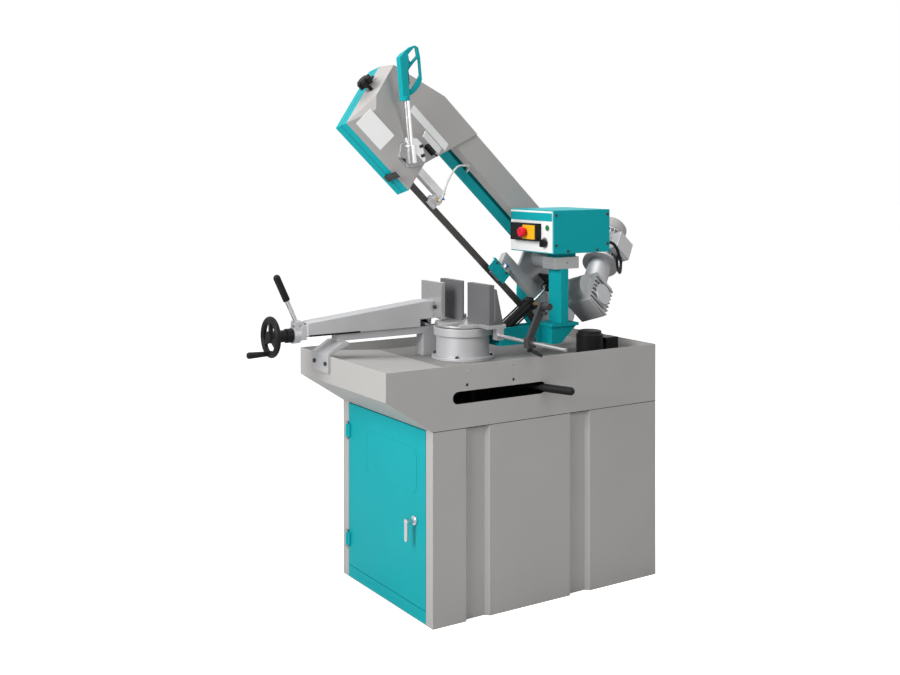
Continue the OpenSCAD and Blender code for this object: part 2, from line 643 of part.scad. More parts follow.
shaft_y1 = 60;
module head_shaft() color(bright_steel) {
    rod_y([hinge_x, column_y[0] + 12, hinge_z], shaft_r, shaft_y1 - column_y[0] - 12);
    rod_y([hinge_x, column_y[1], hinge_z], shaft_r + 8, 10);
}

module control_box() color(teal_paint) {
    difference() {
        span(box_lo, box_hi);
        span(box_lo + box_wall * [1, 1, 1], box_hi - box_wall * [1, 1, 1]);
        rod_x([box_lo[0] - 1, start_at[1], start_at[2]], button_r + running + 0.5, box_wall + 2);
        rod_x([box_lo[0] - 1, knob_at[1], knob_at[2]], 4.5, box_wall + 2);
    }
    // Pedestal of the box on the hinge block
    span([block_x[0] + 20, column_y[0] + 8, block_z[1]], [block_x[1] - 10, column_y[1] - 8, box_lo[2]]);
    // Gland where the motor cable leaves
    rod_x([box_hi[0], cable_start[1], cable_start[2]], 11, 12);
}

panel_x = box_lo[0] - panel_t;
switch_lo = [panel_x - 28, -182, hinge_z + 90];
switch_hi = [panel_x, -16, hinge_z + 157];
start_at = [panel_x, -222, hinge_z + 142];
knob_at = [panel_x, -204, hinge_z + 84];
stop_at = [switch_lo[0], -118, (switch_lo[2] + switch_hi[2]) / 2];
button_r = 9;

module control_panel() color([0.93, 0.93, 0.93]) difference() {
    span([panel_x, box_lo[1] + 4, box_lo[2] + 4], [box_lo[0], box_hi[1] - 4, box_hi[2] - 4]);
    rod_x([panel_x - 1, start_at[1], start_at[2]], button_r + running, panel_t + 2);
    rod_x([panel_x - 1, knob_at[1], knob_at[2]], 4 + running, panel_t + 2);
}

module switch_block() color(black_plastic) difference() {
    span(switch_lo, switch_hi);
    rod_x([stop_at[0] - 1, stop_at[1], stop_at[2]], 12 + running, 22);
}

module stop_button() color([0.85, 0.10, 0.16]) {
    rod_x([stop_at[0] - 14, stop_at[1], stop_at[2]], 12, 24);
    translate([stop_at[0] - 14, stop_at[1], stop_at[2]]) rotate([0, -90, 0]) {
        cylinder(h = 10, r = 20);
        translate([0, 0, 10]) cylinder(h = 6, r1 = 20, r2 = 15);
    }
}

module start_button() color([0.08, 0.55, 0.18]) {
    rod_x([start_at[0] - 6, start_at[1], start_at[2]], button_r, 6 + panel_t + 4);
}

module speed_knob() color(black_plastic) {
    rod_x([knob_at[0] - 8, knob_at[1], knob_at[2]], 4, panel_t + 14);
    rod_x([knob_at[0] - 16, knob_at[1], knob_at[2]], 15, 16 - apart);
    span([knob_at[0] - 24, knob_at[1] - 4, knob_at[2] - 14], [knob_at[0] - 16, knob_at[1] + 4, knob_at[2] + 14]);
}

// Frame of the feed cylinder: x along its axis from the foot pin
module at_foot() translate(foot) rotate([0, -cyl_angle, 0]) children();

module cylinder_barrel() color(black_plastic) at_foot() {
    difference() {
        union() {
            rod_x([16, 0, 0], barrel_r, barrel_l - 16);
            span([14, -23, -23], [34, 23, 23]);
            span([barrel_l - 22, -23, -23], [barrel_l, 23, 23]);
            for (y = [-1, 1], z = [-1, 1]) rod_x([34, y * 18, z * 18], 3.5, barrel_l - 56);
            rod_y([0, -14, 0], 15, 28);
            span([0, -14, -12], [16, 14, 12]);
        }
        rod_x([60, 0, 0], bore_r, barrel_l - 60 - 14);
        rod_x([60, 0, 0], rod_r + running, barrel_l);
        rod_y([0, -15, 0], foot_pin_r + running, 30);
    }
}
module cylinder_rod() color(bright_steel) at_foot() {
    rod_x([80, 0, 0], bore_r - running, 16);
    rod_x([90, 0, 0], rod_r, cyl_len - 90 - 4);
    rod_y([cyl_len, -eye_t / 2, 0], eye_r, eye_t);
}

// Clevis under the head that the rod eye works in; the middle of its pin is left out
module rod_clevis() color(black_plastic) difference() {
    clevis_body();
    at_loop() span([-200, -100, -200], [300, 400, back_n + plate_t]);
}
module clevis_body() translate([eye[0], cyl_y, eye[2]]) rotate([0, raise_angle, 0]) {
    for (s = [-1, 1]) {
        translate([0, s * (cheek_gap / 2 + cheek_t / 2) + cheek_t / 2, 0]) rotate([90, 0, 0]) linear_extrude(cheek_t) {
            circle(15);
            polygon([[-15, 0], [15, 0], [46, clevis_top], [-4, clevis_top]]);
        }
        rod_y([0, s > 0 ? cheek_gap / 2 + cheek_t : -cheek_gap / 2 - cheek_t - 6, 0], 9, 6);
    }
    span([-4, -cheek_gap / 2 - cheek_t, clevis_top - 10], [46, clevis_arm_y, clevis_top]);
}
clevis_top = 64;
clevis_arm_y = 130;

// Slab with the outline of the drive end casting, between two values of n
module drive_slab(n0, n1, grow) {
    loop_slab(n0, n1) translate([drive_u, wheel_v]) circle(drive_ring + grow, $fn = 96);
    loop_slab(n0, n1) polygon([[beam_end_u - 44 - grow, beam_v0 - 7 - grow], [beam_end_u - 44 - grow, beam_v1 + grow],
        [drive_u - 40 + 0.4 * grow, beam_v1 + grow], [drive_u + 84 + 0.7 * grow, wheel_v + 92 + 0.7 * grow],
        [drive_u, wheel_v]]);
}

// Hull between the two outlines; back_inset also keeps the cavity clear of the sloping side
module housing_solid(inset, back_inset) hull() {
    translate([0, 0, back_n + inset]) linear_extrude(1) offset(delta = -back_inset) polygon(housing_back);
    translate([0, 0, face_n - 1 - inset]) linear_extrude(1) offset(delta = -inset) polygon(housing_face);
}

// Sheet of the sloping side where it runs on past the end wall
module side_fin() hull() {
    translate([0, 0, back_n]) linear_extrude(1) polygon([[idler_u + 104, -48], [mouth_u, -48], [mouth_u, -43],
        [idler_u + 104, -43]]);
    translate([0, 0, face_n - 1]) linear_extrude(1) polygon([[idler_u + 144, 45], [idler_u + 162, 45],
        [idler_u + 162, 50], [idler_u + 144, 50]]);
}

module wheel_housing() color(grey_paint) at_loop() difference() {
    union() {
        housing_solid(0, 0);
        side_fin();
    }
    difference() {
        housing_solid(cast_wall, cast_wall + slope_room);
        // Web that carries the tension slide
        span([idler_u - 80, wheel_v - 60, back_n], [idler_u + 60, wheel_v + 60, back_n + plate_t]);
    }
    // Window for the axle block, and the bore for the tension screw
    span([idler_u - slide_half - 1, wheel_v - slide_w - apart, back_n - 1],
        [idler_u + slide_half + tension_travel, wheel_v + slide_w + apart, back_n + plate_t + 1]);
    rod_x([idler_u - 200, wheel_v, tension_n], screw_r + running, 130);
    // Window for the guide bar
    span([idler_u - 16, guide_v[0] - apart, guide_n[0] - apart],
        [idler_u + 264, guide_v[1] + apart, guide_n[1] + apart]);
}
slide_half = 42;
slide_w = 30;
tension_travel = 12;
tension_n = back_n + plate_t + 14;
screw_r = 7;

module idler_cover() color(teal_paint) at_loop() {
    cover_shell();
    latch_lugs(latch_lower_at);
    latch_lugs(latch_upper_at);
}
module cover_shell() difference() {
    loop_slab(cover_n0, back_n) polygon(housing_base);
    loop_slab(cover_n0 + cover_wall, back_n + 1) offset(delta = -cover_wall) polygon(housing_base);
    // Mouth where the blade leaves along the cutting run
    span([idler_u + 104, -blade_room, -blade_room], [front_u + 24, blade_room + 20, back_n + 1]);
    // Mouth towards the guard of the return run
    span([front_u - 86, wheel_d - 14, -blade_room], [front_u + 24, wheel_d + 14, blade_room]);
}
blade_room = 17;

module bow_beam() color(grey_paint) at_loop() difference() {
    span([-640, beam_v0, beam_n0], [beam_end_u, beam_v1, beam_n1]);
    span([-641, beam_v0 + cast_wall, beam_n0 + cast_wall], [beam_end_u - cast_wall, beam_v1 - cast_wall, beam_n1 - cast_wall]);
    // Gap along the underside
    span([-641, beam_v0 - 1, beam_n0 - 1], [-60, beam_v0 + 24, gap_n]);
    housing_solid(0, 0);
    loop_slab(back_n - 70, back_n + 1) polygon(housing_base);
}

module return_guard() color(teal_paint) at_loop() difference() {
    span([front_u - 62, beam_v0 + 4, -26], [beam_end_u - 44 - apart, beam_v0 + 62, beam_n0]);
    span([front_u - 63, beam_v0 + 7, -23], [beam_end_u, beam_v0 + 59, beam_n0 - 3]);
    // Room for the end walls of the wheel housing and its cover
    loop_slab(cover_n0, beam_n0 + 1)
        polygon([[front_u - 156, beam_v0], [end_u(beam_v0), beam_v0], [end_u(beam_v1), beam_v1],
            [front_u - 156, beam_v1]]);
}
// Line just outside the end wall, u at a value of v
end_lo = housing_base[2];
end_hi = housing_base[3];
function end_u(v) = end_lo[0] + 1.2 + (v - end_lo[1]) * (end_hi[0] - end_lo[0]) / (end_hi[1] - end_lo[1]);

module drive_housing() color(grey_paint) difference() {
    union() {
        at_loop() {
            drive_slab(back_n, back_n + plate_t, 0);
            translate([drive_u, wheel_v, back_n]) cylinder(h = gear_n0 - back_n, r = 46);
            // Arm that carries the fixed guide
            span([fixed_u[0] + 4, 40, back_n + 4], [drive_u - 90, 90, back_n + plate_t + 18]);
            // Rib from the arm up to the beam
            span([-70, 60, back_n], [60, beam_v0 - 1, back_n + plate_t]);
        }
        // Hinge boss and its web
        at_hinge() {
            rod_y([0, boss_y0, 0], boss_r, boss_y1 - boss_y0);
            span([-boss_r, 26, -10], [boss_r, boss_y1, 70]);
        }
    }
    at_loop() span([-700, beam_v0, beam_n0], [beam_end_u, beam_v1 + 1, beam_n1 + 60]);
    at_hinge() rod_y([0, -300, 0], shaft_r + running, 600);
    at_loop() {
        translate([drive_u, wheel_v, 0]) cylinder(h = gear_n0 + 1, r = drive_shaft_r + running);
        drive_slab(-80, back_n, 20);
    }
}
boss_r = 32;
boss_y0 = -76;
boss_y1 = 61;

module drive_cover() color(teal_paint) at_loop() difference() {
    union() drive_slab(cover_n0, back_n, 0);
    union() drive_slab(cover_n0 + cover_wall, back_n + 1, -cover_wall);
    // Mouths for the cutting run and the return run
    span([-200, -60, -blade_room], [drive_u, blade_room, back_n + 1]);
    span([-60, wheel_d - 14, -blade_room], [beam_end_u, wheel_d + 14, blade_room]);
}

module gearbox() color(cast_alu) at_loop() difference() {
    union() {
        translate([drive_u, wheel_v, gear_n0]) cylinder(h = gear_n + 30 - gear_n0, r = gear_r);
        span([drive_u + 6, wheel_v - 72, gear_n0 + 8], [worm_u + 52, wheel_v + 76, gear_n1 - 8]);
        // Cooling ribs
        for (v = [-60 : 20 : 60])
            span([drive_u + 8, wheel_v + v - 3, gear_n0 + 2], [worm_u + 58, wheel_v + v + 3, gear_n1 - 2]);
        // Worm tunnel up to the motor flange
        translate([worm_u, wheel_v + 76, gear_n]) along_y() cylinder(h = motor_v0 - wheel_v - 76, r = 48);
        // Bolted lid on the operator's side
        translate([worm_u + 2, wheel_v, gear_n1 - 2]) cylinder(h = 8, r = 42);
    }
    translate([drive_u, wheel_v, gear_n0 - 1]) cylinder(h = 50, r = drive_shaft_r + running);
    translate([drive_u, wheel_v, gear_n - 20]) cylinder(h = 43, r = worm_wheel_r + 2);
    translate([worm_u, wheel_v - 46, gear_n]) along_y() cylinder(h = 92, r = worm_r + 6);
    translate([worm_u, wheel_v - 62, gear_n]) along_y() cylinder(h = 300, r = worm_core_r + running);
}

module motor() color(cast_alu) at_loop() translate([worm_u, motor_v0, gear_n]) along_y() difference() {
    union() {
        cylinder(h = flange_t, r = motor_r + 10);
        cylinder(h = motor_l, r = motor_r - 10);
        for (a = [0 : 15 : 345]) rotate(a) span([motor_r - 12, -1.6, flange_t], [motor_r, 1.6, motor_l]);
        translate([0, 0, motor_l - 8]) cylinder(h = 8, r = motor_r);
    }
    translate([0, 0, -1]) cylinder(h = motor_l + 2, r = worm_core_r + running);
    translate([0, 0, 30]) cylinder(h = motor_l - 60, r = motor_bore_r + 14);
}

module fan_cover() color(cast_alu) at_loop() translate([worm_u, motor_v0 + motor_l, gear_n]) along_y() difference() {
    rotate_extrude() polygon([[0, 0], [motor_r + 2, 0], [motor_r + 2, fan_l - 16], [motor_r - 10, fan_l], [0, fan_l]]);
    rotate_extrude() polygon([[0, -1], [motor_r - 1, -1], [motor_r - 1, fan_l - 18], [motor_r - 12, fan_l - 3], [0, fan_l - 3]]);
}

module terminal_box() color(cast_alu) at_loop() {
    span(term_lo, term_hi);
    span([worm_u - 36, term_lo[1] - 8, gear_n + motor_r + 10], [worm_u + 36, term_lo[1], gear_n + motor_r + 36]);
}

// Pull handle, leaning a little towards the operator while the head is raised
handle_base = [idler_u + 89, -62, -147];
handle_lean = 5.5;
post_h = 190;
post_r = 12;
bracket_u = [idler_u + 38, idler_u + 154];
bracket_v = [-6, 97];
bracket_t = 9;
module at_handle() at_hinge() translate(handle_base) rotate([0, -raise_angle - handle_lean, 0]) children();

// Line of the housing's sloping side, n at a value of v
side_v = housing_face[1][1];
side_n0 = back_n + 1;
function side_n(v) = side_n0 + (v - housing_base[0][1]) * (face_n - side_n0) / (side_v - housing_base[0][1]);

// Prism along u with an outline in v and n
module along_u(u0, u1) translate([u0, 0, 0]) rotate([90, 0, 90]) linear_extrude(u1 - u0) children();

module handle_post() color(bright_steel) {
    difference() {
        at_handle() {
            rod_z([0, 0, 20], post_r, post_h - 20);
            rod_z([0, 0, -40], post_r + 9, 66);
        }
        at_loop() along_u(idler_u - 136, idler_u + 364)
            polygon([[-100, -100], [300, -100], [300, face_n], [side_v, face_n], [-100, side_n(-100)]]);
    }
    // Bracket folded over the edge of the housing
    at_loop() difference() {
        along_u(bracket_u[0], bracket_u[1]) polygon([[bracket_v[0], side_n(bracket_v[0])], [side_v, face_n],
            [bracket_v[1], face_n], [bracket_v[1], face_n + bracket_t], [side_v - 5, face_n + bracket_t],
            [bracket_v[0], side_n(bracket_v[0]) + bracket_t + 3]]);
        for (s = [-1, 1]) translate([s < 0 ? bracket_u[0] : bracket_u[1], bracket_v[1], face_n - 1]) rotate(45)
            translate([-30, -30, 0]) cube([60, 60, 30]);
        for (s = [-1, 1]) translate([s < 0 ? bracket_u[0] : bracket_u[1], bracket_v[0], -20]) rotate(45)
            translate([-22, -22, 0]) cube([44, 44, 140]);
    }
}

// Outlines of the grip, x across it and y up from the foot of the post
grip_bar = [[-21, 204], [-21, 349], [-1, 366], [15, 362], [18, 340], [12, 310], [9, 290], [9, 204]];
grip_loop = [[-12, 204], [-12, 352], [-1, 366], [28, 384], [52, 390], [66, 382], [71, 345], [71, 262], [58, 238], [36, 218],
    [8, 204]];
grip_windows = [[[6, 240], [18, 230], [27, 233], [63, 280], [63, 337], [57, 340], [24, 309], [6, 290]],
    [[14, 352], [21, 336], [29, 328], [57, 352], [55, 380], [47, 381]]];
bar_t = 28;
loop_t = 12;
collar_x = -7;
trigger_x = -8;
trigger_y = [248, 304];
trigger_half = 7;
press = 6;
module at_grip() at_handle() rotate([90, 0, 0]) children();
module handle_grip() color(teal_paint) at_grip() difference() {
    union() {
        translate([0, 0, -bar_t / 2]) linear_extrude(bar_t) polygon(grip_bar);
        translate([0, 0, -loop_t / 2]) linear_extrude(loop_t) difference() {
            polygon(grip_loop);
            polygon(grip_windows[0]);
            polygon(grip_windows[1]);
        }
        translate([collar_x, post_h, 0]) along_y() cylinder(h = 16, r = 19);
    }
    // Pocket for the trigger
    span([trigger_x - press - 1, trigger_y[0] - apart, -trigger_half - apart],
        [19, trigger_y[1] + apart, trigger_half + apart]);
}
module trigger() color(black_plastic) at_grip()
    span([trigger_x, trigger_y[0], -trigger_half], [16, trigger_y[1], trigger_half]);

// Slot of a guide block, open towards the teeth
module blade_slot(u0, u1) span([u0 - 1, -blade_t / 2 - apart, -60], [u1 + 1, blade_t / 2 + apart, blade_w / 2 + apart]);

module fixed_guide() color(bright_steel) {
    at_loop() span([fixed_u[0] + 4, 18, back_n + 4], [fixed_u[1], 40, back_n + plate_t + 18]);
    at_hinge() translate([0, 0, -hinge_drop]) {
        difference() {
            span([fixed_u[0], -14, -6], [fixed_u[1], 14, 44]);
            blade_slot(fixed_u[0], fixed_u[1]);
        }
        span([fixed_u[0], -30, 20], [fixed_u[1], -14, 44]);
    }
}

// Blade: a closed ribbon whose width turns from across the wheels to upright in the cut
arc_steps = 40;
twist = 90 - loop_tilt;
cut_l = [idler_u + 250, fixed_u[1] + 20];
function ribbon_point(c, a, f, side) = let (w = [0, sin(a), cos(a)], t = f)
    c + w * blade_w / 2 * side[0] + t * blade_t / 2 * side[1];
function section(c, a, f) = [for (s = [[-1, -1], [1, -1], [1, 1], [-1, 1]]) ribbon_point(c, a, f, s)];
function smooth(x) = x * x * (3 - 2 * x);
loop_stations = concat(
    [for (i = [0 : 10]) let (x = i / 10, a = twist * smooth(x))
        [[idler_u + x * (cut_l[0] - idler_u), 0, 0], a, [0, -cos(a), sin(a)]]],
    [for (i = [0 : 10]) let (x = i / 10, a = twist * smooth(1 - x))
        [[cut_l[1] + x * (drive_u - cut_l[1]), 0, 0], a, [0, -cos(a), sin(a)]]],
    [for (i = [1 : arc_steps]) let (g = -90 + i * 180 / arc_steps)
        [[drive_u + wheel_v * cos(g), wheel_v + wheel_v * sin(g), 0], 0, [cos(g), sin(g), 0]]],
    [for (i = [0 : arc_steps - 1]) let (g = 90 + i * 180 / arc_steps)
        [[idler_u + wheel_v * cos(g), wheel_v + wheel_v * sin(g), 0], 0, [cos(g), sin(g), 0]]]);
module blade() color(blade_steel) at_loop() {
    count = len(loop_stations);
    points = [for (s = loop_stations) each section(s[0], s[1], s[2])];
    polyhedron(points, [for (i = [0 : count - 1], k = [0 : 3]) let (j = (i + 1) % count, q = (k + 1) % 4)
        [i * 4 + k, i * 4 + q, j * 4 + q, j * 4 + k]]);
}

// Toggle latch that holds the idler cover to the housing, as drawn at its own hinge
latch_lower_at = [idler_u + 104, -48, 180];
latch_upper_at = [end_u0, 190, 90];
latch_n = -14;
module at_latch(place) translate([place[0], place[1], 0]) rotate(place[2]) children();
module latch(place) at_loop() at_latch(place) difference() {
    union() {
        rod_x([-14, 8, latch_n], 6, 28);
        span([-14, 7, latch_n], [14, 11, 42]);
        span([-9, 11, 6], [9, 17, 42]);
    }
    rod_x([-20, 8, latch_n], 3 + running, 40);
}
// Lugs and pin on the cover that a latch turns on
module latch_lugs(place) at_latch(place) {
    for (s = [-1, 1]) span([s < 0 ? -19 : 14 + apart, -1, latch_n - 7], [s < 0 ? -14 - apart : 19, 14, latch_n + 7]);
    rod_x([-18, 8, latch_n], 3, 36);
}
module latch_lower() color(dark_steel) latch(latch_lower_at);
module latch_upper() color(dark_steel) latch(latch_upper_at);

module tension_slide() color(dark_steel) at_loop() difference() {
    union() {
        span([idler_u - slide_half, wheel_v - slide_w, back_n - 2], [idler_u + slide_half, wheel_v + slide_w, tension_n + 14]);
        translate([idler_u, wheel_v, -wheel_w / 2 - 8]) cylinder(h = back_n + wheel_w / 2 + 10, r = 15);
        translate([idler_u, wheel_v, -wheel_w / 2 - 12]) cylinder(h = 4 + 12 - 4 - apart, r = 22);
    }
    rod_x([idler_u - slide_half - 1, wheel_v, tension_n], screw_r + running, 2 * slide_half - 10);
}

module tension_knob() color(black_plastic) at_loop() {
    rod_x([knob_u, wheel_v, tension_n], screw_r, idler_u - 10 - knob_u);
    translate([knob_u, wheel_v, tension_n]) rotate([0, -90, 0]) {
        cylinder(h = 30, r = 20);
        for (a = [0 : 60 : 300]) rotate(a) translate([22, 0, 0]) cylinder(h = 26, r = 9);
    }
}
knob_u = idler_u - 182;

module wheel(at_u) translate([at_u, wheel_v, 0]) {
    difference() {
        translate([0, 0, -wheel_w / 2]) cylinder(h = wheel_w, r = wheel_r, $fn = 128);
        translate([0, 0, -wheel_w / 2 - 1]) cylinder(h = wheel_w / 2 - 3, r = wheel_r - 12);
        translate([0, 0, 4]) cylinder(h = wheel_w, r = wheel_r - 12);
        for (a = [0 : 60 : 300]) rotate(a) translate([wheel_r * 0.58, 0, -wheel_w]) cylinder(h = 2 * wheel_w, r = 26);
        translate([0, 0, -wheel_w]) cylinder(h = 2 * wheel_w, r = 20);
    }
}
module idler_wheel() color(cast_alu) at_loop() {
    wheel(idler_u);
    translate([idler_u, wheel_v, 0]) difference() {
        translate([0, 0, -wheel_w / 2]) cylinder(h = wheel_w, r = 30);
        translate([0, 0, -wheel_w]) cylinder(h = 2 * wheel_w, r = 15 + running);
    }
}
module drive_wheel() color(cast_alu) at_loop() {
    wheel(drive_u);
    translate([drive_u, wheel_v, -wheel_w / 2]) cylinder(h = wheel_w, r = 30);
    translate([drive_u, wheel_v, 0]) cylinder(h = gear_n + 20, r = drive_shaft_r);
    // Worm wheel inside the gearbox
    translate([drive_u, wheel_v, gear_n - 14]) cylinder(h = 28, r = worm_wheel_r);
}
module worm_shaft() color(bright_steel) at_loop() translate([worm_u, 0, gear_n]) {
    translate([0, wheel_v - 60, 0]) along_y() cylinder(h = motor_v0 + motor_l + 34 - wheel_v + 60, r = worm_core_r);
    translate([0, wheel_v - 40, 0]) along_y() cylinder(h = 80, r = worm_r);
    translate([0, motor_v0 + 40, 0]) along_y() cylinder(h = motor_l - 80, r = motor_bore_r + 10);
    translate([0, motor_v0 + motor_l + 14, 0]) along_y() cylinder(h = 14, r = 22);
    for (a = [0 : 60 : 300]) translate([0, motor_v0 + motor_l + 14, 0]) rotate([0, a, 0]) span([20, 0, -1.5], [motor_r - 8, 14, 1.5]);
}

module guide_arm() color(bright_steel) at_loop()
    span([idler_u + 106, guide_v[0], guide_n[0]], [guide_u, guide_v[1], guide_n[1]]);
module guide_block() color(dark_steel) {
    at_loop() span([guide_u - 40, guide_v[0] - 10, guide_n[0] - 8], [guide_u, guide_v[0] - eps, guide_n[1]]);
    at_hinge() translate([0, 0, -hinge_drop]) {
        difference() {
            span([guide_u - 40, -16, -4], [guide_u, 16, 32]);
            blade_slot(guide_u - 40, guide_u);
        }
        span([guide_u - 40, -32, 16], [guide_u, -16, 32]);
    }
}

module coolant_hose() color([0.72, 0.72, 0.70]) tube(hose_route, 4, 8);
module motor_cable() color(black_plastic) tube(cable_route, 6, 10);

cabinet();
plinth();
tray();
turret();
table_plate();
fixed_jaws();
vice_rail();
coolant_pump();
stop_rod();
stand_screws();
door();
door_handle();
mitre_lever();
vice_casting();
jaw_plate();
vice_spindle();
handwheel();
crank_grip();
vice_lever();
stop_arm();
stop_lever();
swivel_arm();
column();
hinge_block();
head_shaft();
control_box();
control_panel();
switch_block();
stop_button();
start_button();
speed_knob();
cylinder_barrel();
cylinder_rod();
bow_beam();
wheel_housing();
idler_cover();
return_guard();
drive_housing();
drive_cover();
gearbox();
motor();
fan_cover();
terminal_box();
rod_clevis();
handle_post();
handle_grip();
trigger();
fixed_guide();
blade();
latch_upper();
latch_lower();
tension_slide();
tension_knob();
idler_wheel();
drive_wheel();
worm_shaft();
guide_arm();
guide_block();
coolant_hose();
motor_cable();
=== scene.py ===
"""Looks of a swing-head mitre band saw on a sheet-steel cabinet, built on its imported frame."""

import json
import logging
import math
from dataclasses import dataclass
from enum import Enum
from typing import Callable, Optional, Sequence

import bmesh
import bpy
from mathutils import Matrix, Vector


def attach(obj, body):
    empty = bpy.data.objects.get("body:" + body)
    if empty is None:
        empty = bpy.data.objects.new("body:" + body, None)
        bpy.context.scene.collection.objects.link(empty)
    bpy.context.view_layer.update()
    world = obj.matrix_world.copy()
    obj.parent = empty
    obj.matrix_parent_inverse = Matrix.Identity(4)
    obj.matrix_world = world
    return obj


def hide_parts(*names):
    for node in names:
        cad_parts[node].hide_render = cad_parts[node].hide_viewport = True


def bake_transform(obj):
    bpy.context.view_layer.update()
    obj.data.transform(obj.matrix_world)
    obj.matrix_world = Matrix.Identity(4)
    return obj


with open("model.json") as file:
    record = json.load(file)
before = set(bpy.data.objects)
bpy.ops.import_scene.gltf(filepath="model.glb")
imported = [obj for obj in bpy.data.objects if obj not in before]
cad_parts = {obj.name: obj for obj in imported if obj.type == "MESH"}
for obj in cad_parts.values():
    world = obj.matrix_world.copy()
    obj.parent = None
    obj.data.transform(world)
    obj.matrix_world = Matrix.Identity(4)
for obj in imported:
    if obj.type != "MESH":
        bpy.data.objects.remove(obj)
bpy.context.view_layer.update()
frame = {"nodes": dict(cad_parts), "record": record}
LOG = logging.getLogger("band_saw")

Point = tuple[float, float, float]
Colour = tuple[float, float, float]
FaceTest = Callable[[Vector, Vector], bool]

MM = 0.001
# Points nearer than WELD (metres) are one point; faces that differ less than FLAT (degrees) are one face
WELD = 0.000004
FLAT = 0.5
SHARP = 30.0
BODY_OF = {node: body for body, nodes in frame["record"]["behaviour"]["bodies"].items() for node in nodes}


class Surface(Enum):
    """How a finish breaks up the light."""

    PAINT = "paint"
    CAST = "cast"
    BRUSHED = "brushed"
    MOULDED = "moulded"


